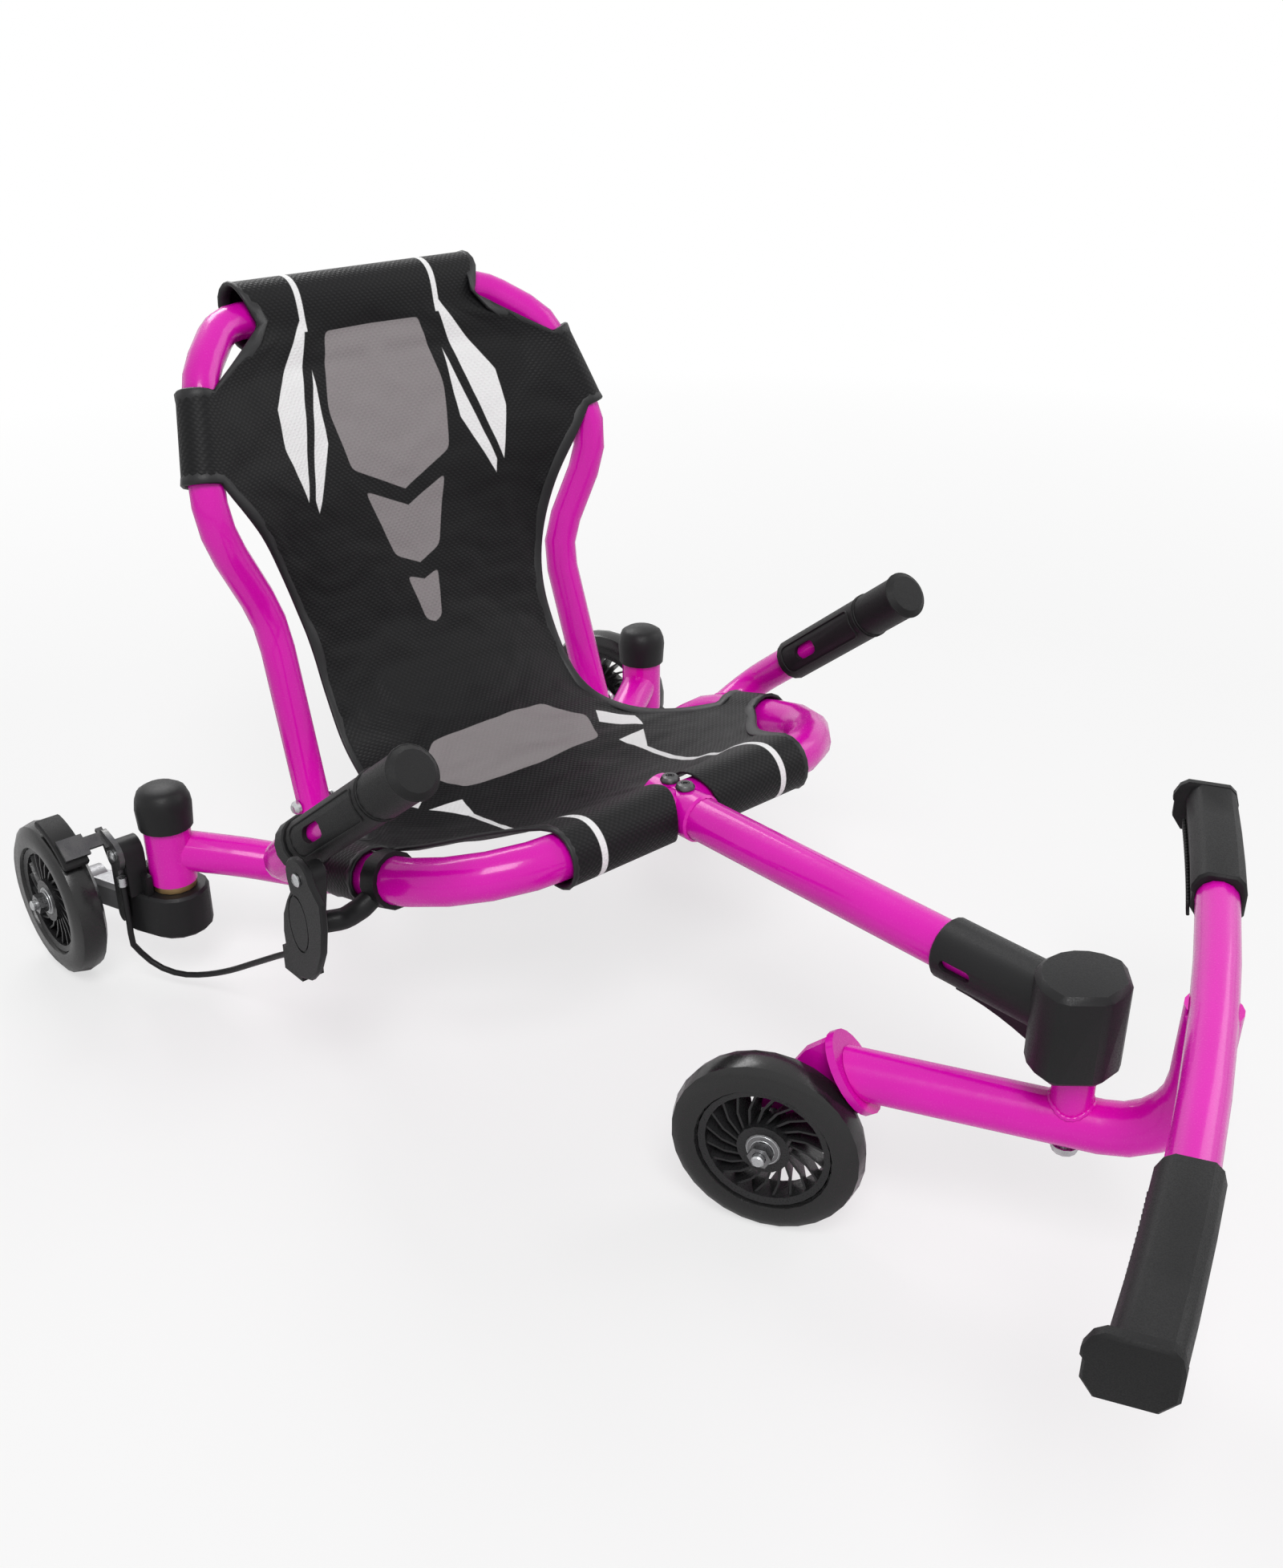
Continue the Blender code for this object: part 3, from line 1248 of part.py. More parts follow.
def make_brake_arm(swivel):
    pivot_y = BRAKE_PIVOT_Y - CASTER_Y
    hinge = add_empty("brake_arm_axis", (-LUG_OUTER, pivot_y, BRAKE_PIVOT_Z), 0.0, swivel)
    offset = Matrix.Translation((LUG_OUTER, -pivot_y, -BRAKE_PIVOT_Z))
    near = -LUG_OUTER - RUNNING_GAP - BRAKE_ARM_THICKNESS
    far = -LUG_OUTER - RUNNING_GAP
    shoe_inner = WHEEL_RADIUS + SHOE_CLEARANCE
    bridge_inner = shoe_inner + SHOE_THICKNESS + GAP
    bridge_outer = bridge_inner + BRIDGE_THICKNESS
    half = BRAKE_STRAP_WIDTH / 2
    strap = hull_outline([(pivot_y, BRAKE_PIVOT_Z, half), (pivot_y, BRAKE_STRAP_BOTTOM_Z + half, half)])
    arm = side_prism(strap, near, far)
    arm.transform(offset)
    brake_arm = add_object("brake_arm", arm, DARK_STEEL, hinge)
    middle = (BRIDGE_START + BRIDGE_END) / 2
    reach = (bridge_inner + bridge_outer) / 2
    lobe_y = TRAIL - reach * math.cos(middle)
    lobe_z = WHEEL_RADIUS + reach * math.sin(middle)
    lobe = side_prism(
        hull_outline([(pivot_y, BRAKE_PIVOT_Z, BRAKE_HEAD_RADIUS), (lobe_y, lobe_z, 0.006)]), near, far
    )
    lobe.transform(offset)
    plate_outline = wheel_arc(bridge_inner, bridge_outer, BRIDGE_START, BRIDGE_END, 3)
    plate = side_prism(plate_outline, -OUTBOARD - SHOE_WIDTH / 2 + 0.002, far - 0.001)
    plate.transform(offset)
    weld(brake_arm, add_helper("brake_lobe", lobe, hinge), add_helper("brake_bridge", plate, hinge))
    waist = (BRIDGE_END - BRIDGE_START) * bridge_outer
    window_start = -OUTBOARD + SHOE_WIDTH / 2 + 0.002
    for at, name in ((BRIDGE_START, "lower"), (BRIDGE_END, "upper")):
        notch_y = TRAIL - reach * math.cos(at)
        notch_z = WHEEL_RADIUS + reach * math.sin(at)
        notch = side_prism(
            hull_outline([(notch_y, notch_z, waist * 0.22)], 16), window_start, near - 0.002
        )
        notch.transform(offset)
        cut(brake_arm, add_helper(f"brake_bridge_notch_{name}", notch, hinge))
    pin = BRAKE_PIN_DIAMETER / 2
    drill = rod((near - 0.01, pivot_y, BRAKE_PIVOT_Z), (far + 0.01, pivot_y, BRAKE_PIVOT_Z), pin + GAP, 10)
    drill.transform(offset)
    cut(brake_arm, add_helper("brake_arm_drill", drill, hinge))
    shoe_outline = wheel_arc(shoe_inner, shoe_inner + SHOE_THICKNESS, SHOE_START, SHOE_END, 7)
    shoe = side_prism(shoe_outline, -OUTBOARD - SHOE_WIDTH / 2, -OUTBOARD + SHOE_WIDTH / 2)
    shoe.transform(offset)
    shoe_piece = add_object("brake_shoe", shoe, BLACK, hinge)
    round_edges(shoe_piece, 0.0012, 1, 60)
    head = pin * 1.9
    profile = [
        (0, near - 0.0028),
        (head * 0.6, near - 0.0028),
        (head, near - 0.0015),
        (head, near - GAP),
        (pin, near - GAP),
        (pin, -LUG_INNER - 0.002),
        (0, -LUG_INNER - 0.002),
    ]
    pin_body = along_x(lathe(profile, 12))
    pin_body.transform(Matrix.Translation((0, pivot_y, BRAKE_PIVOT_Z)))
    add_object("brake_arm_pin", pin_body, STEEL, swivel)
    foot = cable_end() - Vector((-CASTER_X, CASTER_Y, 0.0))
    top = Vector((foot.x, foot.y, ANCHOR_TOP_Z))
    anchor = rod(foot, top, ANCHOR_DIAMETER / 2, 12)
    anchor.transform(offset)
    add_object("cable_anchor", anchor, STEEL, hinge)


def make_lever(root):
    collar_start = mirrored(grip_point(GRIP_LENGTH + GAP + COLLAR_LENGTH), -1)
    collar_end = mirrored(grip_point(GRIP_LENGTH + GAP), -1)
    outer = COLLAR_DIAMETER / 2
    bore = HANDLE_TUBE / 2 + GAP
    collar_profile = [
        (bore, 0),
        (outer - 0.0015, 0),
        (outer, 0.0015),
        (outer, COLLAR_LENGTH - 0.001),
        (outer - 0.001, COLLAR_LENGTH),
        (bore, COLLAR_LENGTH),
    ]
    add_object("brake_collar", turned_between(collar_start, collar_end, collar_profile, 16), BLACK, root)
    pivot = (LEVER_PIVOT_Y, LEVER_PIVOT_Z)
    near = -LEVER_X
    far = -LEVER_X + LEVER_THICKNESS
    hinge = add_empty("brake_lever_axis", (far, *pivot), 0.0, root)
    offset = Matrix.Translation((-far, -pivot[0], -pivot[1]))
    outline = arc_points(pivot, LEVER_HEAD_RADIUS, math.radians(-15), math.radians(170), 8)
    outline += [
        (pivot[0] - 0.0250, pivot[1] - 0.008),
        (pivot[0] - 0.0245, pivot[1] - 0.026),
        (pivot[0] - 0.0205, pivot[1] - 0.046),
        (pivot[0] - 0.0130, pivot[1] - 0.062),
        (pivot[0] - 0.0030, pivot[1] - 0.073),
        (pivot[0] + 0.0100, pivot[1] - 0.077),
        (pivot[0] + 0.0200, pivot[1] - 0.073),
        (pivot[0] + 0.0250, pivot[1] - 0.064),
        (pivot[0] + 0.0260, pivot[1] - 0.048),
        (pivot[0] + 0.0235, pivot[1] - 0.034),
        (pivot[0] + 0.0175, pivot[1] - 0.022),
        (pivot[0] + 0.0115, pivot[1] - 0.013),
    ]
    lever_body = side_prism(outline, near, far)
    lever_body.transform(offset)
    lever = add_object("brake_lever", lever_body, BLACK, hinge)
    round_edges(lever, 0.0012, 1, 60)
    groove = lathe([(0.93, -1), (1.0, -1), (1.0, 1), (0.93, 1)], 20)
    groove.transform(Matrix.Diagonal((0.021, 0.0115, 0.0008, 1)))
    along_x(groove)
    groove.transform(Matrix.Translation((near - far, 0.0045, -0.034)))
    pin = LEVER_PIN_DIAMETER / 2
    drill = rod((-0.02, 0, 0), (0.02, 0, 0), pin + GAP, 10)
    cut(lever, add_helper("lever_groove", groove, hinge), add_helper("lever_drill", drill, hinge))
    make_bracket(root, pivot, far)
    head = pin * 1.8
    inner = far + GAP * 2 + BRACKET_THICKNESS
    profile = [
        (0, near - 0.0024),
        (head * 0.6, near - 0.0024),
        (head, near - 0.0012),
        (head, near - GAP),
        (pin, near - GAP),
        (pin, inner - 0.001),
        (0, inner - 0.001),
    ]
    pin_body = along_x(lathe(profile, 12))
    pin_body.transform(Matrix.Translation((0, *pivot)))
    add_object("brake_lever_pin", pin_body, STEEL, root)


def make_bracket(root, pivot, lever_face):
    """The moulding that carries the lever: a band on the side tube, an arm and an upright cheek."""
    near = lever_face + RUNNING_GAP
    far = near + BRACKET_THICKNESS
    low_centre = (0.022, 0.121)
    cheek = hull_outline([(*pivot, 0.0085), (*low_centre, 0.0125)])
    bracket = add_object("brake_bracket", side_prism(cheek, near, far), BLACK, root)
    round_edges(bracket, 0.0015, 1, 60)
    middle = (near + far) / 2
    band_y = (BRACKET_BAND_Y[0] + BRACKET_BAND_Y[1]) / 2
    path = [
        Vector((middle, 0.024, 0.137)),
        Vector((-0.2125, 0.012, 0.138)),
        Vector((-0.2035, band_y, 0.146)),
        Vector((-0.190, band_y, 0.154)),
    ]
    arm = sweep(bent_path(path, [0.012, 0.008], math.radians(25)), 0.0075, 10)
    outer = FRAME_TUBE / 2 + BRACKET_BAND_WALL
    tube = [mirrored(point, -1) for point in frame_stretch(*BRACKET_BAND_Y)]
    band = sweep(tube, outer, 14)
    stop_block = box((near + 0.001, 0.024, 0.096), (far + 0.005, 0.046, 0.114))
    weld(
        bracket,
        add_helper("bracket_arm", arm, root),
        add_helper("bracket_band", band, root),
        add_helper("bracket_stop", stop_block, root),
    )
    cable_start = Vector(CABLE_ROUTE[0])
    way = (Vector(CABLE_ROUTE[1]) - cable_start).normalized()
    socket = rod(cable_start - way * GAP, cable_start + way * 0.05, CABLE_DIAMETER / 2 + GAP, 12)
    drill = rod((near - 0.01, *pivot), (far + 0.01, *pivot), LEVER_PIN_DIAMETER / 2 + GAP, 10)
    cut(
        bracket,
        bpy.data.objects["frame_cope"],
        add_helper("cable_socket", socket, root),
        add_helper("bracket_drill", drill, root),
    )


def smooth_route(points, gap):
    """Points a set distance apart on a smooth curve through the given ones."""
    fine = []
    ends = [points[0] * 2 - points[1]] + points + [points[-1] * 2 - points[-2]]
    for a, b, c, d in zip(ends, ends[1:], ends[2:], ends[3:]):
        for i in range(20):
            t = i / 20
            straight = (c - a) * t + (a * 2 - b * 5 + c * 4 - d) * t**2
            fine.append(b + (straight + (b * 3 - a - c * 3 + d) * t**3) / 2)
    fine.append(points[-1])
    return spaced(fine, gap)


def spaced(points, gap):
    lengths = [0.0]
    for first, second in zip(points, points[1:]):
        lengths.append(lengths[-1] + (second - first).length)
    count = max(2, round(lengths[-1] / gap))
    result = []
    index = 0
    for i in range(count + 1):
        target = lengths[-1] * i / count
        while index < len(lengths) - 2 and lengths[index + 1] < target:
            index += 1
        span = lengths[index + 1] - lengths[index]
        share = 0.0 if span == 0 else (target - lengths[index]) / span
        result.append(points[index].lerp(points[index + 1], share))
    return result


def cable_end():
    """Where the cable meets its anchor in front of the brake arm's strap."""
    x = -(CASTER_X + LUG_OUTER + RUNNING_GAP + ANCHOR_DIAMETER / 2)
    y = BRAKE_PIVOT_Y - BRAKE_STRAP_WIDTH / 2 - GAP - ANCHOR_DIAMETER / 2
    return Vector((x, y, ANCHOR_BOTTOM_Z))


def make_cable(root):
    route = [Vector(point) for point in CABLE_ROUTE]
    for below in (0.050, 0.034, 0.017, GAP):
        route.append(cable_end() - Vector((0.0, 0.0, below)))
    points = smooth_route(route, CABLE_DIAMETER * 2.8)
    curve = bpy.data.curves.new("brake_cable", "CURVE")
    curve.dimensions = "3D"
    curve.bevel_depth = CABLE_DIAMETER / 2
    curve.bevel_resolution = 2
    curve.use_fill_caps = True
    spline = curve.splines.new("POLY")
    spline.points.add(len(points) - 1)
    for slot, point in zip(spline.points, points):
        slot.co = (*point, 1.0)
    curve.materials.append(material_for(BLACK))
    cable = bpy.data.objects.new("brake_cable", curve)
    cable.parent = root
    bpy.context.scene.collection.objects.link(cable)


# Seat cover


def frame_stretch(low, high):
    """The side tube's centre line between two depths, on the rider's left."""
    points = spaced(frame_path(), 0.001)
    inside = [point for point in points if point.x > SIDE_X * 0.7 and low <= point.y <= high]
    return spaced(inside, 0.014)


def ear_stretch(low, high):
    points = spaced(backrest_path(), 0.001)
    inside = [point for point in points if point.x > TOP_X and low <= point.z <= high]
    return spaced(inside, 0.012)


def cover_sheet():
    across = 8
    grid = []
    for y, z, half, forward, up in COVER_ROWS:
        line = []
        for k in range(across + 1):
            u = 2 * k / across - 1
            u = math.sin(u * math.pi / 2) * 0.35 + u * 0.65
            bow = abs(u) ** 2.2
            line.append(Vector((half * u, y - forward * bow, z + up * bow)))
        grid.append(line)
    bm = bmesh.new()
    front = []
    back = []
    for i, line in enumerate(grid):
        front_line = []
        back_line_points = []
        for k, point in enumerate(line):
            down = grid[min(i + 1, len(grid) - 1)][k] - grid[max(i - 1, 0)][k]
            side = line[min(k + 1, across)] - line[max(k - 1, 0)]
            normal = down.cross(side).normalized()
            front_line.append(bm.verts.new(point + normal * FABRIC / 2))
            back_line_points.append(bm.verts.new(point - normal * FABRIC / 2))
        front.append(front_line)
        back.append(back_line_points)
    for i in range(len(grid) - 1):
        for k in range(across):
            bm.faces.new((front[i][k], front[i][k + 1], front[i + 1][k + 1], front[i + 1][k]))
            bm.faces.new((back[i][k], back[i + 1][k], back[i + 1][k + 1], back[i][k + 1]))
        for k in (0, across):
            bm.faces.new((front[i][k], front[i + 1][k], back[i + 1][k], back[i][k]))
    for i in (0, len(grid) - 1):
        for k in range(across):
            bm.faces.new((front[i][k], front[i][k + 1], back[i][k + 1], back[i][k]))
    return bm


def make_cover(root):
    cover = add_object("seat_cover", cover_sheet(), CLOTH, root)
    front_outer = FRAME_TUBE / 2 + SLEEVE_EASE + FABRIC
    back_outer = BACK_TUBE / 2 + SLEEVE_EASE + FABRIC
    bar = Vector((FRONT_SLEEVE_HALF, FRAME_FRONT_Y, FRAME_FRONT_Z))
    top = Vector((TOP_SLEEVE_HALF, TOP_Y, TOP_Z))
    pieces = [
        ("front_sleeve", rod(mirrored(bar, -1), bar, front_outer, 12)),
        ("top_sleeve", rod(mirrored(top, -1), top, back_outer, 12)),
    ]
    for side, label in ((1, "left"), (-1, "right")):
        tube = [mirrored(point, side) for point in frame_stretch(*SIDE_SLEEVE_Y)]
        ear = [mirrored(point, side) for point in ear_stretch(*EAR_SLEEVE_Z)]
        pieces.append((f"{label}_side_sleeve", sweep(tube, front_outer, 12)))
        pieces.append((f"{label}_ear_sleeve", sweep(ear, back_outer, 12)))
    weld(cover, *[add_helper(name, bm, root) for name, bm in pieces])
    frame_bore = sweep(frame_path(), FRAME_TUBE / 2 + SLEEVE_EASE, 12)
    back_bore = sweep(backrest_path(), BACK_TUBE / 2 + SLEEVE_EASE, 12)
    band_reach = (BRACKET_BAND_Y[0] - 0.002, BRACKET_BAND_Y[1] + 0.002)
    band = [mirrored(point, -1) for point in frame_stretch(*band_reach)]
    band_room = sweep(band, FRAME_TUBE / 2 + BRACKET_BAND_WALL + RUNNING_GAP, 12)
    arch = rod(
        (0.0, FRAME_FRONT_Y + 0.030, FRAME_FRONT_Z),
        (0.0, FRAME_FRONT_Y - 0.030, FRAME_FRONT_Z),
        SADDLE_TUBE / 2 + COVER_ARCH_EASE,
        16,
    )
    cut(
        cover,
        add_helper("cover_frame_bore", frame_bore, root),
        add_helper("cover_back_bore", back_bore, root),
        add_helper("cover_band_room", band_room, root),
        add_helper("cover_arch", arch, root),
    )


# The whole model


def centre_model(root):
    """Puts the origin under the middle of the model, on the ground."""
    bpy.context.view_layer.update()
    graph = bpy.context.evaluated_depsgraph_get()
    low = Vector((math.inf,) * 3)
    high = Vector((-math.inf,) * 3)
    for obj in bpy.data.objects:
        if obj.hide_render or obj.type not in ("MESH", "CURVE"):
            continue
        evaluated = obj.evaluated_get(graph)
        mesh = evaluated.to_mesh()
        for vertex in mesh.vertices:
            point = evaluated.matrix_world @ vertex.co
            low = Vector(map(min, low, point))
            high = Vector(map(max, high, point))
        evaluated.to_mesh_clear()
    root.location = (-(low.x + high.x) / 2, -(low.y + high.y) / 2, -low.z)
    print("shift", tuple(round(value, 6) for value in root.location), "size", tuple(high - low))


def main():
    clear_scene()
    root = add_empty("scooter", (0.0, 0.0, 0.0))
    make_frame(root)
    make_front(root)
    swing = add_empty("swing_axis", (0.0, PIVOT_Y, 0.0), SWING_YAW, root)
    make_swing_bar(swing)
    make_caster(root, 1, "left")
    right = make_caster(root, -1, "right")
    make_brake(root, right)
    make_cover(root)
    centre_model(root)


main()
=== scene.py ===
# %% [markdown]
# # Sit-down scooter
# The metal frame, wheels and fittings come from a imported model with exact sizes. This notebook
# gives each of them a finish, and sews the seat, which a rigid model can only stand in for.
# The imported model is loaded first.

# %% Load the imported model
import json
import math
import bmesh
import bpy
from mathutils import Matrix, Vector
from mathutils.bvhtree import BVHTree


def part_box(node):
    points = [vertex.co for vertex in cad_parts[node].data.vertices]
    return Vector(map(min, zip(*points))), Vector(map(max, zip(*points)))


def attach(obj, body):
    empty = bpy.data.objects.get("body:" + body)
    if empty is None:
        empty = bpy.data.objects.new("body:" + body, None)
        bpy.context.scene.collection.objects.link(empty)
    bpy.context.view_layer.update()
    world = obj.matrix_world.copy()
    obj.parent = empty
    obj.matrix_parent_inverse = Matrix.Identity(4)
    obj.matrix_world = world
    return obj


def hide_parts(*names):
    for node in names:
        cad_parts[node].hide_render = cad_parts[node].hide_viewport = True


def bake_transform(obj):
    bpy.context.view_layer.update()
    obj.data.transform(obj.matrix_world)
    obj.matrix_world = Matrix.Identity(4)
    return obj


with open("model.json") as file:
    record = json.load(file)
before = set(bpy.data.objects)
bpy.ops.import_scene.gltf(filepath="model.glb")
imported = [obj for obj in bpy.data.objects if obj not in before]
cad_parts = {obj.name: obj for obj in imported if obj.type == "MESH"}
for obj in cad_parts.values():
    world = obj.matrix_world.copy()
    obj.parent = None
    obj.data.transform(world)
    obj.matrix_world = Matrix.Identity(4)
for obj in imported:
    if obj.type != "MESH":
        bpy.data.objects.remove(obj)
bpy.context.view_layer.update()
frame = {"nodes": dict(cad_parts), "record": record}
nodes = frame["nodes"]
joints = {joint["name"]: joint for joint in frame["record"]["behaviour"]["joints"]}

# %% [markdown]
# The scooter's middle plane is not the middle of its box, because the steering bar is turned.
# Every place below is measured from a point on the floor in that plane, under the seat. The
# steering pivot stands a known way ahead of it.

# %% A place to measure from
PIVOT_AHEAD = 0.396
pivot = Vector(joints["swing_bar_pivot"]["pos_m"])
MIDDLE = Vector((pivot.x, pivot.y + PIVOT_AHEAD, 0.0))


def place(x, y, z):
    return MIDDLE + Vector((x, y, z))


print("measured from", tuple(round(v, 4) for v in MIDDLE))

# %% [markdown]
# The camera looks down on the scooter from ahead and from the rider's right, as a person
# standing over it would. Sensor and lens give the angle of view. The camera's own Z axis points
# backwards, so the view direction is turned into a rotation with track_quat.

# %% Camera
LENS = 45.2
SENSOR_WIDTH = 36
CAMERA_PLACE = (-0.6554, -0.7729, 0.6883)
AZIMUTH = math.radians(-41.64)
ELEVATION = math.radians(27.22)
camera_data = bpy.data.cameras.new("camera")
camera_data.sensor_fit = "HORIZONTAL"
camera_data.sensor_width = SENSOR_WIDTH
camera_data.lens = LENS
camera = bpy.data.objects.new("camera", camera_data)
bpy.context.scene.collection.objects.link(camera)
view_way = Vector((
    -math.sin(AZIMUTH) * math.cos(ELEVATION),
    math.cos(AZIMUTH) * math.cos(ELEVATION),
    -math.sin(ELEVATION),
))
camera.location = place(*CAMERA_PLACE)
camera.rotation_euler = view_way.to_track_quat("-Z", "Y").to_euler()
bpy.context.scene.camera = camera
print("camera at", tuple(round(v, 3) for v in camera.location))

# %% [markdown]
# The brake cable is the only cord. It leaves the foot of the lever's moulding, droops under the
# frame and comes up into the wheel brake. A curve with a round bevel is the natural tool: its
# points are the route, and its bevel is the jacket. A Catmull-Rom blend keeps the route smooth.
# The bevelled curve is then turned into a mesh tube.

# %% Brake cable
CABLE_DIAMETER = 0.0045
CABLE_ROUTE = [
    (-0.2260, 0.0400, 0.1040),
    (-0.2201, 0.0825, 0.0800),
    (-0.2221, 0.1263, 0.0520),
    (-0.2270, 0.1610, 0.0300),
    (-0.2348, 0.1878, 0.0165),
    (-0.2451, 0.2060, 0.0125),
    (-0.2550, 0.2210, 0.0165),
    (-0.2625, 0.2300, 0.0270),
]
CABLE_END = (-0.2675, 0.2307, 0.0870)
BELOW_END = (0.050, 0.034, 0.017, 0.0008)
CABLE_STEP = 0.010
SPAN_STEPS = 20
JACKET_ROUNDNESS = 4


def on_curve(a, b, c, d, t):
    """The Catmull-Rom curve from b (t = 0) to c (t = 1), for numbers and vectors alike."""
    straight = (c - a) * t + (a * 2 - b * 5 + c * 4 - d) * t**2
    return b + (straight + (b * 3 - a - c * 3 + d) * t**3) / 2


def even_steps(lengths, count):
    """(index, share, distance) of evenly spaced places on a line with these running lengths."""
    index = 0
    for i in range(count + 1):
        target = lengths[-1] * i / count
        while index < len(lengths) - 2 and lengths[index + 1] < target:
            index += 1
        span = lengths[index + 1] - lengths[index]
        yield index, 0.0 if span == 0 else (target - lengths[index]) / span, target


def smooth_points(points, gap):
    """Points a set distance apart on a smooth curve through the given ones."""
    ends = [points[0] * 2 - points[1]] + points + [points[-1] * 2 - points[-2]]
    fine = []
    for a, b, c, d in zip(ends, ends[1:], ends[2:], ends[3:]):
        fine += [on_curve(a, b, c, d, i / SPAN_STEPS) for i in range(SPAN_STEPS)]
    fine.append(points[-1])
    lengths = [0.0]
    for first, second in zip(fine, fine[1:]):
        lengths.append(lengths[-1] + (second - first).length)
    count = max(2, round(lengths[-1] / gap))
    return [fine[i].lerp(fine[i + 1], share) for i, share, _ in even_steps(lengths, count)]


def length_of(points):
    return sum((b - a).length for a, b in zip(points, points[1:]))


route = [place(*point) for point in CABLE_ROUTE]
route += [place(*CABLE_END) - Vector((0, 0, below)) for below in BELOW_END]
cable_points = smooth_points(route, CABLE_STEP)
cable_data = bpy.data.curves.new("cable_route", "CURVE")
cable_data.dimensions = "3D"
cable_data.bevel_depth = CABLE_DIAMETER / 2
cable_data.bevel_resolution = JACKET_ROUNDNESS
cable_data.use_fill_caps = True
cable_spline = cable_data.splines.new("POLY")
cable_spline.points.add(len(cable_points) - 1)
for slot, point in zip(cable_spline.points, cable_points):
    slot.co = (*point, 1.0)
route_object = bpy.data.objects.new("cable_route", cable_data)
bpy.context.scene.collection.objects.link(route_object)
bpy.context.view_layer.update()
bevelled = route_object.evaluated_get(bpy.context.evaluated_depsgraph_get())
cable_mesh = bpy.data.meshes.new_from_object(bevelled)
cable_mesh.name = "brake_cable_jacket"
cable_mesh.shade_smooth()
bpy.data.objects.remove(route_object)
cable = bpy.data.objects.new("brake_cable_jacket", cable_mesh)
bpy.context.scene.collection.objects.link(cable)
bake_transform(cable)
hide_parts("brake_cable")
print("cable length", round(length_of(cable_points), 3))

# %% [markdown]
# ## Floor and light
# The floor is one large pale sheet. Round the object it takes soft shadows as real paper would,
# and for the camera it fades to plain white further out, so that no horizon shows. An Emission
# shader, mixed in by the distance from the middle, does this with no more light on the object.

# %% Floor
FLOOR_HALF = 6.0
FLOOR_GAP = 0.0005
floor_mesh = bpy.data.meshes.new("floor")
floor_corners = [(-FLOOR_HALF, -FLOOR_HALF, 0), (FLOOR_HALF, -FLOOR_HALF, 0)]
floor_corners += [(FLOOR_HALF, FLOOR_HALF, 0), (-FLOOR_HALF, FLOOR_HALF, 0)]
floor_mesh.from_pydata(floor_corners, [], [(0, 1, 2, 3)])
floor = bpy.data.objects.new("floor", floor_mesh)
floor.location.z = -FLOOR_GAP
bpy.context.scene.collection.objects.link(floor)


def new_material(name):
    """A new material, its node tree and its Principled BSDF."""
    material = bpy.data.materials.new(name)
    material.use_nodes = True
    tree = material.node_tree
    return material, tree, tree.nodes["Principled BSDF"]


floor_material, tree, shader = new_material("studio_floor")
shader.inputs["Base Color"].default_value = (0.90, 0.90, 0.90, 1)
shader.inputs["Roughness"].default_value = 0.7
shader.inputs["Specular IOR Level"].default_value = 0.1
SHADOW_SHARE = 0.35
PLAIN_FROM = 0.9
PLAIN_OVER = 1.2
distance = tree.nodes.new("ShaderNodeVectorMath")
distance.operation = "LENGTH"
tree.links.new(tree.nodes.new("ShaderNodeTexCoord").outputs["Object"], distance.inputs[0])
fade = tree.nodes.new("ShaderNodeMapRange")
fade.inputs["From Min"].default_value = PLAIN_FROM
fade.inputs["From Max"].default_value = PLAIN_FROM + PLAIN_OVER
fade.inputs["To Min"].default_value = 1 - SHADOW_SHARE
tree.links.new(distance.outputs["Value"], fade.inputs["Value"])
floor_paths = tree.nodes.new("ShaderNodeLightPath")
plain = tree.nodes.new("ShaderNodeMath")
plain.operation = "MULTIPLY"
tree.links.new(floor_paths.outputs["Is Camera Ray"], plain.inputs[0])
tree.links.new(fade.outputs["Result"], plain.inputs[1])
glow = tree.nodes.new("ShaderNodeEmission")
glow.inputs["Color"].default_value = (1, 1, 1, 1)
floor_mix = tree.nodes.new("ShaderNodeMixShader")
tree.links.new(plain.outputs[0], floor_mix.inputs[0])
tree.links.new(shader.outputs[0], floor_mix.inputs[1])
tree.links.new(glow.outputs[0], floor_mix.inputs[2])
tree.links.new(floor_mix.outputs[0], tree.nodes["Material Output"].inputs["Surface"])
floor_mesh.materials.append(floor_material)
print("floor", 2 * FLOOR_HALF, "m square")

# %% [markdown]
# A big soft lamp stands high on the camera's side, a weaker one fills from the other side, and a
# third lights the tubes' edges from behind. The world is white where the camera or a reflection
# sees it, and dim where it lights the object, which Light Path's ray types tell apart.

# %% World and lamps
DIM_WORLD = 0.26
LAMP_AIM = Vector((0, 0, 0.15))
LAMPS = [
    ("key", (-1.2, -1.4, 2.6), 1.3, 50),
    ("fill", (2.2, -0.8, 1.6), 1.6, 14),
    ("rim", (0.6, 2.2, 2.0), 1.2, 26),
]
world = bpy.data.worlds.new("studio")
bpy.context.scene.world = world
world.use_nodes = True
tree = world.node_tree
tree.nodes.clear()
paths = tree.nodes.new("ShaderNodeLightPath")
looked_at = tree.nodes.new("ShaderNodeMath")
looked_at.operation = "MAXIMUM"
tree.links.new(paths.outputs["Is Camera Ray"], looked_at.inputs[0])
tree.links.new(paths.outputs["Is Glossy Ray"], looked_at.inputs[1])
world_mix = tree.nodes.new("ShaderNodeMixShader")
tree.links.new(looked_at.outputs[0], world_mix.inputs[0])
for slot, strength in ((1, DIM_WORLD), (2, 1.0)):
    sky = tree.nodes.new("ShaderNodeBackground")
    sky.inputs["Color"].default_value = (1, 1, 1, 1)
    sky.inputs["Strength"].default_value = strength
    tree.links.new(sky.outputs[0], world_mix.inputs[slot])
output = tree.nodes.new("ShaderNodeOutputWorld")
tree.links.new(world_mix.outputs[0], output.inputs[0])

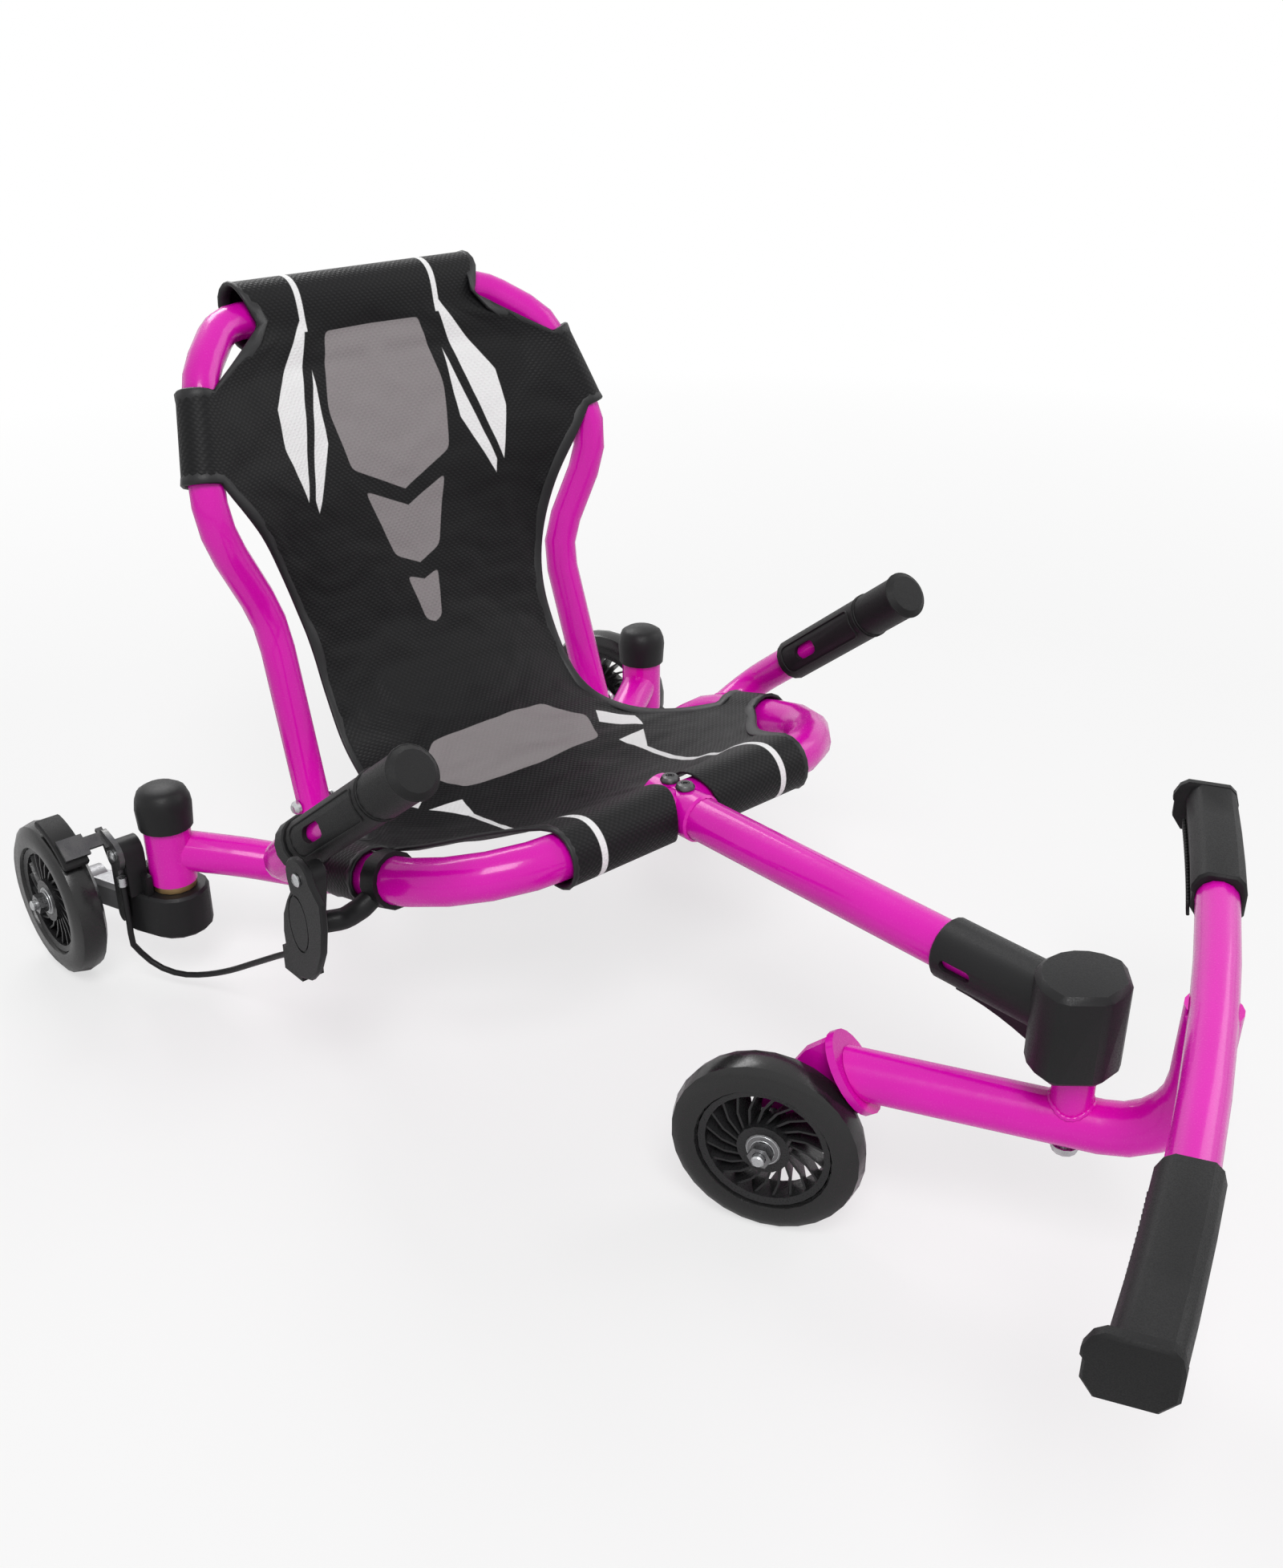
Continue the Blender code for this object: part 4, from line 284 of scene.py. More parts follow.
for name, where, size, power in LAMPS:
    lamp_data = bpy.data.lights.new(name, "AREA")
    lamp_data.size = size
    lamp_data.energy = power
    lamp = bpy.data.objects.new(name, lamp_data)
    lamp.location = where
    lamp.rotation_euler = (LAMP_AIM - Vector(where)).to_track_quat("-Z", "Y").to_euler()
    bpy.context.scene.collection.objects.link(lamp)
bpy.context.scene.view_settings.view_transform = "Standard"
print("lamps", len(LAMPS))

# %% [markdown]
# ## Finishes
# Several finishes share the same small effects, so each effect is a node group built once:
# grain, which is fine noise at a stated size, and blotches, which vary a colour slowly over the
# surface. Both read Object coordinates, so they stay with the part when it moves.

# %% Shared effects
GRAIN_LOW, GRAIN_GAIN = 0.35, 3.0
BLOTCH_LOW, BLOTCH_GAIN = 0.3, 2.4


def new_group(name, inputs, outputs):
    """A node group with named sockets, and its input and output nodes."""
    group = bpy.data.node_groups.new(name, "ShaderNodeTree")
    for label, kind, value in inputs:
        socket = group.interface.new_socket(label, in_out="INPUT", socket_type=kind)
        if value is not None:
            socket.default_value = value
    for label, kind in outputs:
        group.interface.new_socket(label, in_out="OUTPUT", socket_type=kind)
    start = group.nodes.new("NodeGroupInput")
    end = group.nodes.new("NodeGroupOutput")
    return group, start, end


def add_math(tree, operation, first, second=None, third=None, clamp=False):
    """A Math node whose inputs are sockets or numbers, and its output socket."""
    node = tree.nodes.new("ShaderNodeMath")
    node.operation = operation
    node.use_clamp = clamp
    for slot, value in zip(node.inputs, (first, second, third)):
        if value is None:
            continue
        if isinstance(value, (int, float)):
            slot.default_value = value
        else:
            tree.links.new(value, slot)
    return node.outputs[0]


def add_noise(tree, vector, size, detail, roughness):
    node = tree.nodes.new("ShaderNodeTexNoise")
    node.inputs["Detail"].default_value = detail
    node.inputs["Roughness"].default_value = roughness
    tree.links.new(add_math(tree, "DIVIDE", 1.0, size), node.inputs["Scale"])
    tree.links.new(vector, node.inputs["Vector"])
    return node.outputs[0]


def stretched(tree, value, low, gain):
    """The value above low, made gain times stronger and kept between 0 and 1."""
    above = add_math(tree, "SUBTRACT", value, low)
    return add_math(tree, "MULTIPLY", above, gain, clamp=True)


grain_group, start, end = new_group(
    "grain",
    [("Vector", "NodeSocketVector", None), ("Size", "NodeSocketFloat", 0.001)],
    [("Height", "NodeSocketFloat"), ("Mask", "NodeSocketFloat")],
)
noise = add_noise(grain_group, start.outputs["Vector"], start.outputs["Size"], 4.0, 0.6)
mask = stretched(grain_group, noise, GRAIN_LOW, GRAIN_GAIN)
grain_group.links.new(noise, end.inputs["Height"])
grain_group.links.new(mask, end.inputs["Mask"])

blotch_group, start, end = new_group(
    "blotches",
    [
        ("Vector", "NodeSocketVector", None),
        ("Size", "NodeSocketFloat", 0.05),
        ("Color A", "NodeSocketColor", (0.5, 0.5, 0.5, 1)),
        ("Color B", "NodeSocketColor", (0.4, 0.4, 0.4, 1)),
    ],
    [("Color", "NodeSocketColor"), ("Amount", "NodeSocketFloat")],
)
noise = add_noise(blotch_group, start.outputs["Vector"], start.outputs["Size"], 2.0, 0.5)
amount = stretched(blotch_group, noise, BLOTCH_LOW, BLOTCH_GAIN)
blend = blotch_group.nodes.new("ShaderNodeMix")
blend.data_type = "RGBA"
blotch_group.links.new(amount, blend.inputs["Factor"])
blotch_group.links.new(start.outputs["Color A"], blend.inputs["A"])
blotch_group.links.new(start.outputs["Color B"], blend.inputs["B"])
blotch_group.links.new(blend.outputs["Result"], end.inputs["Color"])
blotch_group.links.new(amount, end.inputs["Amount"])


def use_group(tree, group, **values):
    """Places a group. Each value is a number, a colour or a socket for one of its inputs."""
    node = tree.nodes.new("ShaderNodeGroup")
    node.node_tree = group
    for label, value in values.items():
        slot = node.inputs[label.replace("_", " ")]
        if isinstance(value, (int, float, tuple)):
            slot.default_value = value
        else:
            tree.links.new(value, slot)
    return node


def object_place(tree):
    return tree.nodes.new("ShaderNodeTexCoord").outputs["Object"]


def add_bump(tree, shader, height, depth):
    bump = tree.nodes.new("ShaderNodeBump")
    bump.inputs["Distance"].default_value = depth
    tree.links.new(height, bump.inputs["Height"])
    tree.links.new(bump.outputs["Normal"], shader.inputs["Normal"])


def between(tree, factor, low, high):
    """A number that goes from low to high with the factor."""
    return add_math(tree, "MULTIPLY_ADD", factor, high - low, low)


print("groups:", grain_group.name, blotch_group.name)

# %% [markdown]
# ### Paint
# The paint has its own recipe. It is a strong pink, nearly free of green, under a thin clear
# coat. A faint orange peel bends its reflections, and fine dust varies how sharp they are.

# %% Pink gloss paint
PEEL_SIZE = 0.006
PEEL_DEPTH = 0.00012
DUST_SIZE = 0.0012


def tinted(tree, shader, where, size, color_a, color_b):
    """Gives a shader a colour that wanders between two, in blotches of a stated size."""
    tint = use_group(tree, blotch_group, Vector=where, Size=size, Color_A=color_a, Color_B=color_b)
    tree.links.new(tint.outputs["Color"], shader.inputs["Base Color"])


def roughened(tree, shader, factor, low, high):
    tree.links.new(between(tree, factor, low, high), shader.inputs["Roughness"])


paint, tree, shader = new_material("pink_gloss_paint")
where = object_place(tree)
tinted(tree, shader, where, 0.08, (0.84, 0.003, 0.52, 1), (0.76, 0.002, 0.46, 1))
peel = use_group(tree, grain_group, Vector=where, Size=PEEL_SIZE)
dust = use_group(tree, grain_group, Vector=where, Size=DUST_SIZE)
roughened(tree, shader, dust.outputs["Mask"], 0.20, 0.30)
shader.inputs["Specular IOR Level"].default_value = 0.25
shader.inputs["Coat Weight"].default_value = 0.30
shader.inputs["Coat Roughness"].default_value = 0.06
add_bump(tree, shader, peel.outputs["Height"], PEEL_DEPTH)
print("paint:", paint.name)

# %% [markdown]
# ### Plastics, rubber and metals
# The other finishes are two close colours that vary slowly over the surface, and a fine grain
# that moves the roughness a little and raises a bump. One function makes them from those values.
# The mouldings, grips and tyres are nearly black, and differ in gloss and grain. The metals set
# Metallic high, so their colour is that of their reflections, and have smaller blotches.

# %% Plastics, rubber and metals


def finish(
    name, color_a, color_b, rough, grain, depth, metallic=0.0, blotch=0.06, scatter=0.12, shine=0.5
):
    """A finish. Its grain is a size and its depth a height, both in metres."""
    material, tree, shader = new_material(name)
    where = object_place(tree)
    tinted(tree, shader, where, blotch, (*color_a, 1), (*color_b, 1))
    fine = use_group(tree, grain_group, Vector=where, Size=grain)
    roughened(tree, shader, fine.outputs["Mask"], rough - scatter, rough + scatter)
    shader.inputs["Metallic"].default_value = metallic
    shader.inputs["Specular IOR Level"].default_value = shine
    add_bump(tree, shader, fine.outputs["Height"], depth)
    material.diffuse_color = (*color_a, 1)
    return material


plastic = finish(
    "black_moulding", (0.009, 0.009, 0.0095), (0.013, 0.013, 0.014), 0.46, 0.0009, 0.00006, shine=0.24
)
grip_rubber = finish(
    "grip_rubber", (0.009, 0.009, 0.0095), (0.014, 0.014, 0.0145), 0.56, 0.0007, 0.00010, shine=0.22
)
hub_plastic = finish(
    "hub_moulding", (0.014, 0.014, 0.015), (0.020, 0.020, 0.021), 0.34, 0.0012, 0.00005, shine=0.35
)
tyre_rubber = finish(
    "cast_tyre",
    (0.010, 0.010, 0.0105),
    (0.013, 0.013, 0.013),
    0.24,
    0.0016,
    0.00002,
    scatter=0.05,
    shine=0.45,
)
bearing_steel = finish(
    "bearing_steel", (0.17, 0.17, 0.175), (0.23, 0.23, 0.235), 0.34, 0.001, 0.00004, 0.9, 0.01
)
zinc = finish("zinc_plate", (0.56, 0.57, 0.58), (0.48, 0.49, 0.50), 0.32, 0.0012, 0.00004, 1.0, 0.01)
dark_steel = finish(
    "black_steel", (0.08, 0.08, 0.085), (0.12, 0.12, 0.12), 0.38, 0.001, 0.00004, 0.8, 0.01
)
casting = finish(
    "grey_casting", (0.30, 0.30, 0.31), (0.36, 0.36, 0.37), 0.45, 0.0013, 0.00008, 0.7, 0.02
)
bronze = finish(
    "oiled_bronze", (0.45, 0.30, 0.14), (0.36, 0.23, 0.10), 0.45, 0.001, 0.00005, 0.9, 0.01
)
print("finishes:", len(bpy.data.materials))

# %% [markdown]
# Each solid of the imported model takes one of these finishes. The solids' own names say what
# they are, so a short list of name endings picks the finish.

# %% Finish for each solid
FINISHES = [
    (("seat_frame", "outrigger", "backrest_tube", "handle_tube", "beam_saddle", "front_beam"), paint),
    (("swing_bar", "pivot_post", "foot_bar", "front_fork"), paint),
    (("grip", "foot_peg", "brake_shoe"), grip_rubber),
    (("elbow_housing", "head_cap", "caster_boot"), plastic),
    (("brake_bracket", "brake_collar", "brake_lever"), plastic),
    (("hub",), hub_plastic),
    (("tyre",), tyre_rubber),
    (("beam_screw_rear", "beam_screw_front", "brake_arm"), dark_steel),
    (("backrest_bolt", "pivot_bolt", "axle", "kingpin"), zinc),
    (("lever_pin", "brake_arm_pin", "cable_anchor"), zinc),
    (("bearing", "axle_nut"), bearing_steel),
    (("bush",), bronze),
    (("caster_arm",), casting),
]
dressed = set()
for endings, material in FINISHES:
    for name, node in nodes.items():
        if name.endswith(endings):
            node.data.materials.clear()
            node.data.materials.append(material)
            dressed.add(name)
print("left to other cells:", sorted(set(nodes) - dressed))
cable_mesh.materials.append(plastic)

# %% [markdown]
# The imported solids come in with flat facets. A short geometry-nodes modifier merges their
# doubled corners and shades them smooth, apart from edges that really are sharp. The elbow's
# housing and the foot pegs are mouldings, so a Bevel modifier rounds their edges first. Modifiers
# change how the solids look and leave the solids themselves alone.

# %% Smooth shading for the solids
SHARP_ANGLE = math.radians(38)
SAME_CORNER = 0.00002
EDGE_ROUND = 0.0014
EDGE_SEGMENTS = 3
smoother = bpy.data.node_groups.new("smooth_unless_sharp", "GeometryNodeTree")
smoother.interface.new_socket("Geometry", in_out="INPUT", socket_type="NodeSocketGeometry")
smoother.interface.new_socket("Geometry", in_out="OUTPUT", socket_type="NodeSocketGeometry")
start = smoother.nodes.new("NodeGroupInput")
end = smoother.nodes.new("NodeGroupOutput")
merge = smoother.nodes.new("GeometryNodeMergeByDistance")
merge.inputs["Distance"].default_value = SAME_CORNER
soft = smoother.nodes.new("GeometryNodeSetShadeSmooth")
soft.inputs["Shade Smooth"].default_value = True
sharp = smoother.nodes.new("GeometryNodeSetShadeSmooth")
sharp.domain = "EDGE"
sharp.inputs["Shade Smooth"].default_value = False
angle = smoother.nodes.new("GeometryNodeInputMeshEdgeAngle")
compare = smoother.nodes.new("FunctionNodeCompare")
compare.data_type = "FLOAT"
compare.operation = "GREATER_THAN"
compare.inputs["B"].default_value = SHARP_ANGLE
smoother.links.new(start.outputs[0], merge.inputs["Geometry"])
smoother.links.new(merge.outputs[0], soft.inputs["Geometry"])
smoother.links.new(soft.outputs[0], sharp.inputs["Geometry"])
smoother.links.new(angle.outputs["Unsigned Angle"], compare.inputs["A"])
smoother.links.new(compare.outputs["Result"], sharp.inputs["Selection"])
smoother.links.new(sharp.outputs[0], end.inputs[0])
for name in ("elbow_housing", "left_foot_peg", "right_foot_peg"):
    join = nodes[name].modifiers.new("join", "WELD")
    join.merge_threshold = SAME_CORNER
    rounded = nodes[name].modifiers.new("rounded", "BEVEL")
    rounded.width = EDGE_ROUND
    rounded.segments = EDGE_SEGMENTS
    rounded.limit_method = "ANGLE"
    rounded.angle_limit = SHARP_ANGLE
for node in nodes.values():
    modifier = node.modifiers.new("smooth", "NODES")
    modifier.node_group = smoother
print("smooth shading on", len(nodes), "solids")

# %% [markdown]
# ## Seat cloth
# The seat is one shaped panel of woven cloth. It loops loosely over the top tube, wraps the
# backrest at the two ears, wraps both side tubes and ends in a sleeve round the front tube.
# The panel is built as a grid: each row crosses the seat from side to side, and a row is given
# by its middle, its half width and how far its ends come forward and up.

# %% Tube centre lines that the cloth wraps
FRAME_TUBE = 0.0318
BACK_TUBE = 0.0254
SIDE_X = 0.183
FRONT_Y = -0.073
FRONT_Z = 0.178
SIDE_SLOPE = 0.2525
SIDE_ENDS = (-0.03, 0.09)
BACK_FOOT = Vector((0.1367, 0.1694, 0.1095))
BACK_WAY = Vector((-0.03, 0.32, 1.0))
WAIST_Z = 0.262
EAR_LOW = Vector((0.1735, 0.2130, 0.3450))
EAR_HIGH = Vector((0.1490, 0.2500, 0.4330))
TOP_BEND = Vector((0.112, 0.281, 0.459))
BACK_RADII = (0.070, 0.070, 0.050, 0.034)
BEND_STEP = math.radians(8)


def bent_line(corners, radii):
    """The centre line of a bent tube: straight runs joined by arcs at the inner corners."""
    points = [corners[0].copy()]
    for before, corner, after, radius in zip(corners, corners[1:], corners[2:], radii):
        inward = (corner - before).normalized()
        outward = (after - corner).normalized()
        turn = inward.angle(outward)
        start = corner - inward * radius * math.tan(turn / 2)
        axis = inward.cross(outward).normalized()
        centre = start + axis.cross(inward).normalized() * radius
        count = max(2, math.ceil(turn / BEND_STEP))
        for i in range(count + 1):
            points.append(centre + Matrix.Rotation(turn * i / count, 3, axis) @ (start - centre))
    points.append(corners[-1].copy())
    return points


back_half = [TOP_BEND, EAR_HIGH, EAR_LOW, BACK_FOOT + BACK_WAY * (WAIST_Z - BACK_FOOT.z), BACK_FOOT]
back_corners = [Vector((-p.x, p.y, p.z)) for p in reversed(back_half)] + back_half
back_line = bent_line(back_corners, BACK_RADII + BACK_RADII[::-1])
side_line = [Vector((SIDE_X, y, FRONT_Z - SIDE_SLOPE * (y - FRONT_Y))) for y in SIDE_ENDS]
print("backrest line", round(length_of(back_line), 3), "m")

# %% [markdown]
# The rows are listed from the loop over the top down to the sleeve round the front. A smooth
# curve runs through them, and even steps along it give the grid, so the cloth's threads keep an
# even spacing. Each corner also gets its place on the flat cloth, in metres, as UV coordinates,
# which is where the weave and the printed panels are drawn.

# %% The cloth's rows
# A row is (y, z, half width), and in the sling also (how far its ends come forward, and up).
LOOP_ROWS = [
    (0.2712, 0.4390, 0.098),
    (0.2860, 0.4425, 0.099),
    (0.2980, 0.4550, 0.100),
    (0.3015, 0.4700, 0.101),
    (0.2945, 0.4815, 0.101),
    (0.2820, 0.4850, 0.101),
    (0.2700, 0.4790, 0.100),
    (0.2650, 0.4660, 0.096),
]
SLING_ROWS = [
    (0.2640, 0.4530, 0.092, 0.003, 0.000),
    (0.2645, 0.4440, 0.110, 0.015, -0.001),
    (0.2635, 0.4350, 0.139, 0.025, 0.000),
    (0.2610, 0.4240, 0.148, 0.028, 0.000),
    (0.2525, 0.4000, 0.154, 0.030, 0.000),
    (0.2400, 0.3660, 0.161, 0.031, 0.000),
    (0.2325, 0.3386, 0.140, 0.022, 0.000),
    (0.2255, 0.3040, 0.124, 0.010, 0.000),
    (0.2165, 0.2640, 0.112, 0.002, 0.000),
    (0.2060, 0.2330, 0.1065, -0.001, 0.000),
    (0.1930, 0.2060, 0.107, -0.004, -0.004),
    (0.1690, 0.1820, 0.109, -0.008, -0.011),
    (0.1400, 0.1675, 0.111, -0.009, -0.014),
    (0.1050, 0.1590, 0.124, -0.003, -0.008),
    (0.0840, 0.1550, 0.146, 0.000, -0.001),
    (0.0640, 0.1520, 0.166, 0.000, 0.0060),
    (0.0420, 0.1505, 0.168, 0.000, 0.0120),
    (0.0170, 0.1526, 0.166, 0.000, 0.0165),
    (-0.0060, 0.1590, 0.143, 0.000, 0.014),
    (-0.0280, 0.1710, 0.120, 0.000, 0.009),
    (-0.0450, 0.1850, 0.108, 0.000, 0.004),
]
FRONT_ROWS = [
    (-0.0610, 0.1945, 0.106),
    (-0.0740, 0.1975, 0.106),
    (-0.0855, 0.1930, 0.106),
    (-0.0920, 0.1820, 0.106),
    (-0.0910, 0.1690, 0.106),
    (-0.0835, 0.1605, 0.106),
    (-0.0720, 0.1585, 0.106),
    (-0.0605, 0.1635, 0.106),
    (-0.0530, 0.1725, 0.106),
    (-0.0490, 0.1790, 0.106),
]
ROW_STEP = 0.0065
CURVE_STEPS = 12


def dense_rows(rows, step):
    """(distance down the cloth, row) at even steps on a smooth curve through the rows."""
    full = [list(row) + [0.0] * (5 - len(row)) for row in rows]
    ends = [full[0]] + full + [full[-1]]
    fine = []
    for four in zip(ends, ends[1:], ends[2:], ends[3:]):
        for i in range(CURVE_STEPS):
            fine.append([on_curve(*numbers, i / CURVE_STEPS) for numbers in zip(*four)])
    fine.append(full[-1])
    lengths = [0.0]
    for first, second in zip(fine, fine[1:]):
        lengths.append(lengths[-1] + math.dist(first[:2], second[:2]))
    count = round(lengths[-1] / step)
    return [
        (target, [a + (b - a) * share for a, b in zip(fine[i], fine[i + 1])])
        for i, share, target in even_steps(lengths, count)
    ]


cloth_rows = dense_rows(LOOP_ROWS + SLING_ROWS + FRONT_ROWS, ROW_STEP)
print("rows", len(cloth_rows), "cloth length", round(cloth_rows[-1][0], 3))

# %% [markdown]
# At the ears and beside the seat the panel's edge carries on round the tube and back to where
# it began, as a sewn sleeve does. Each such row is a circle about the tube's centre line. Its
# first and last fifth lead in from the panel's edge, and its last tenth tucks under.

# %% Sleeves round the tubes
SLEEVE_EASE = 0.0032
SLEEVE_STEPS = 16
SLEEVE_GAP = 0.12
LEAD_SHARE = 0.2
LEAD_REACH = 0.9
UNDER_FROM = 0.9
UNDER_BY = 0.0015


def nearest_on(line, point):
    """(nearest point, direction) of a line of points."""
    best = None
    for a, b in zip(line, line[1:]):
        way = b - a
        share = min(1.0, max(0.0, (point - a).dot(way) / way.dot(way)))
        near = a + way * share
        if best is None or (point - near).length < best[0]:
            best = ((point - near).length, near, way.normalized())
    return best[1], best[2]


def sleeve_row(edge, line, tube, upper):
    """Points from the panel's edge round the tube and back under the edge."""
    centre, way = nearest_on(line, edge)
    start = edge - centre
    start -= way * start.dot(way)
    reach = start.length
    first = start.normalized()
    second = way.cross(first)
    if second.dot(upper) < 0:
        second = -second
    ring = tube / 2 + SLEEVE_EASE
    sink = way * (edge - centre).dot(way)
    points = []
    for i in range(1, SLEEVE_STEPS + 1):
        share = i / SLEEVE_STEPS
        angle = share * (math.tau - SLEEVE_GAP)
        ends = max(0.0, 1 - min(share, 1 - share) / LEAD_SHARE)
        radius = ring + (reach - ring) * ends**2 * LEAD_REACH
        if share > UNDER_FROM:
            radius = radius - UNDER_BY
        points.append(centre + sink + (first * math.cos(angle) + second * math.sin(angle)) * radius)
    return points


print("sleeve steps", SLEEVE_STEPS)

# %% [markdown]
# The grid's columns stand closer together near the edges, where the cloth turns most. A row's
# ends bow forward and up by a power of the distance from the middle, so the seat is flat in the
# middle and curls only at its sides. Corners that a sleeve holds are noted for the simulation.

# %% Build the panel
COLUMNS = 44
EDGE_CROWDING = 0.35
BOW_POWER = 2.2
EAR_Z = (0.366, 0.430)
SIDE_Y = (0.017, 0.062)
BEHIND_SEAT_Y = 0.15
UNDER_BACK_Z = 0.2
LOOP_MARGIN = 0.012
FRONT_MARGIN = 0.010


def spread(k):
    """A column's place between the edges, from -1 to 1."""
    u = 2 * k / COLUMNS - 1
    return math.sin(u * math.pi / 2) * EDGE_CROWDING + u * (1 - EDGE_CROWDING)


def at_ear(point):
    return point.y > BEHIND_SEAT_Y and EAR_Z[0] < point.z < EAR_Z[1]


def at_side(point):
    return point.z < UNDER_BACK_Z and SIDE_Y[0] < point.y < SIDE_Y[1]


SLEEVES = [
    (back_line, BACK_TUBE, Vector((0, -1, 0.3)), at_ear),
    (side_line, FRAME_TUBE, Vector((0, 0, 1)), at_side),
]
cloth_bm = bmesh.new()
uv_layer = cloth_bm.loops.layers.uv.new("flat_cloth")
flat_place = {}
grid = []
pinned = set()
for down, (y, z, half, forward, up) in cloth_rows:
    line = []
    for k in range(COLUMNS + 1):
        u = spread(k)
        bow = abs(u) ** BOW_POWER
        vertex = cloth_bm.verts.new(Vector((half * u, y - forward * bow, z + up * bow)))
        flat_place[vertex] = (half * u, down)
        line.append(vertex)
    grid.append(line)


def add_quad(a, b, c, d):
    cloth_bm.faces.new((a, b, c, d)).smooth = True


for line, below in zip(grid, grid[1:]):
    for k in range(COLUMNS):
        add_quad(line[k], line[k + 1], below[k + 1], below[k])

loop_end = length_of([Vector((0, *row[:2])) for row in LOOP_ROWS]) + LOOP_MARGIN
front_sleeve = length_of([Vector((0, *row[:2])) for row in FRONT_ROWS])
front_start = cloth_rows[-1][0] - front_sleeve - FRONT_MARGIN
for down, line in zip([row[0] for row in cloth_rows], grid):
    if down < loop_end or down > front_start:
        pinned.update(line)

for side in (1, -1):
    column = COLUMNS if side > 0 else 0
    for line_of_tube, tube, upper, inside in SLEEVES:
        mirrored = [Vector((p.x * side, p.y, p.z)) for p in line_of_tube]
        last = None
        for line in grid:
            edge = line[column]
            if flat_place[edge][1] < loop_end or not inside(edge.co):
                last = None
                continue
            wrap = [edge]
            edge_away, down = flat_place[edge]
            for i, point in enumerate(sleeve_row(edge.co, mirrored, tube, upper)):
                vertex = cloth_bm.verts.new(point)
                away = edge_away + side * (i + 1) * (math.tau * tube / 2) / SLEEVE_STEPS
                flat_place[vertex] = (away, down)
                wrap.append(vertex)
            pinned.update(wrap)
            pinned.add(line[column - side])
            if last:
                for i in range(SLEEVE_STEPS):
                    order = (last[i], last[i + 1], wrap[i + 1], wrap[i])
                    add_quad(*(order if side > 0 else order[::-1]))
            last = wrap
cloth_bm.normal_update()
for face in cloth_bm.faces:
    for loop in face.loops:
        loop[uv_layer].uv = flat_place[loop.vert]
cloth_bm.verts.index_update()
pinned_indices = sorted(vertex.index for vertex in pinned)
cloth_mesh = bpy.data.meshes.new("seat_cloth")
for vertex in cloth_bm.verts:
    vertex.co += MIDDLE
cloth_bm.to_mesh(cloth_mesh)
cloth_bm.free()
seat_cloth = bpy.data.objects.new("seat_cloth", cloth_mesh)
bpy.context.scene.collection.objects.link(seat_cloth)
print("cloth corners", len(cloth_mesh.vertices), "held", len(pinned_indices))

# %% [markdown]
# A cloth simulation lets the panel settle: its sleeves are held, and the stretch between them
# hangs a little slack under its own weight. The result is copied into the mesh, with a cap on
# how far a corner may move, and the simulation is taken off again.

# %% Let the cloth settle
SETTLE_FRAMES = 18
MOST_MOVE = 0.009
MOST_SLACK = 0.006
EDGE_ROUNDS = 14


def settle(obj, held, frames):
    """Where a cloth simulation takes the corners of a mesh, with some of them held."""
    group = obj.vertex_groups.new(name="held")
    group.add(held, 1.0, "REPLACE")
    modifier = obj.modifiers.new("cloth", "CLOTH")
    settings = modifier.settings
    settings.quality = 6
    settings.mass = 0.0003
    settings.tension_stiffness = 18
    settings.compression_stiffness = 18
    settings.shear_stiffness = 8
    settings.bending_stiffness = 0.02
    settings.air_damping = 3
    settings.vertex_group_mass = "held"
    settings.pin_stiffness = 1.0
    settings.shrink_min = -MOST_SLACK
    modifier.collision_settings.use_collision = False
    modifier.point_cache.frame_end = frames
    scene = bpy.context.scene
    for number in range(1, frames + 1):
        scene.frame_set(number)
    graph = bpy.context.evaluated_depsgraph_get()
    moved = [v.co.copy() for v in obj.evaluated_get(graph).data.vertices]
    obj.modifiers.remove(modifier)
    scene.frame_set(1)
    return moved


def even_free_edges(mesh, held, rounds):
    """Takes the small waves that settling leaves out of the free cut edges."""
    bm = bmesh.new()
    bm.from_mesh(mesh)
    neighbours = {}
    for vertex in bm.verts:
        if vertex.is_boundary and vertex.index not in held:
            edges = [edge for edge in vertex.link_edges if edge.is_boundary]
            neighbours[vertex.index] = [edge.other_vert(vertex).index for edge in edges]
    bm.free()
    for _ in range(rounds):
        targets = {}
        for index, (first, second) in neighbours.items():
            middle = (mesh.vertices[first].co + mesh.vertices[second].co) / 2
            targets[index] = mesh.vertices[index].co.lerp(middle, 0.5)
        for index, target in targets.items():
            mesh.vertices[index].co = target


furthest = 0.0
settled = settle(seat_cloth, pinned_indices, SETTLE_FRAMES)
held = set(pinned_indices)
for vertex, target in zip(cloth_mesh.vertices, settled):
    move = target - vertex.co
    if vertex.index in held:
        continue
    furthest = max(furthest, move.length)
    if move.length > MOST_MOVE:
        move = move.normalized() * MOST_MOVE
    vertex.co += move
even_free_edges(cloth_mesh, held, EDGE_ROUNDS)
seat_cloth.vertex_groups.clear()
print("cloth settled, furthest move", round(furthest, 4))

# %% [markdown]
# The clamp of the front beam comes up through the middle of the front sleeve. The panel gets
# its thickness and a finer grid first, and an oval cylinder then cuts the arch for the clamp.
# Solidify puts the panel's two sides in two material slots, since only one side is printed.

# %% Thickness and the arch over the clamp
CLOTH_THICKNESS = 0.0016
ARCH_HALF_WIDTH = 0.0185
ARCH_HALF_HEIGHT = 0.0270
ARCH_REAR_Y = -0.0485
ARCH_FRONT_Y = -0.1000
ARCH_SEGMENTS = 40


def apply_modifiers(obj):
    graph = bpy.context.evaluated_depsgraph_get()
    mesh = bpy.data.meshes.new_from_object(obj.evaluated_get(graph))
    old = obj.data
    obj.modifiers.clear()
    obj.data = mesh
    bpy.data.meshes.remove(old)


def object_from(name, bm, body="frame"):
    mesh = bpy.data.meshes.new(name)
    bm.to_mesh(mesh)
    bm.free()
    mesh.polygons.foreach_set("use_smooth", [True] * len(mesh.polygons))
    obj = bpy.data.objects.new(name, mesh)
    bpy.context.scene.collection.objects.link(obj)
    if body:
        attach(obj, body)
    return obj


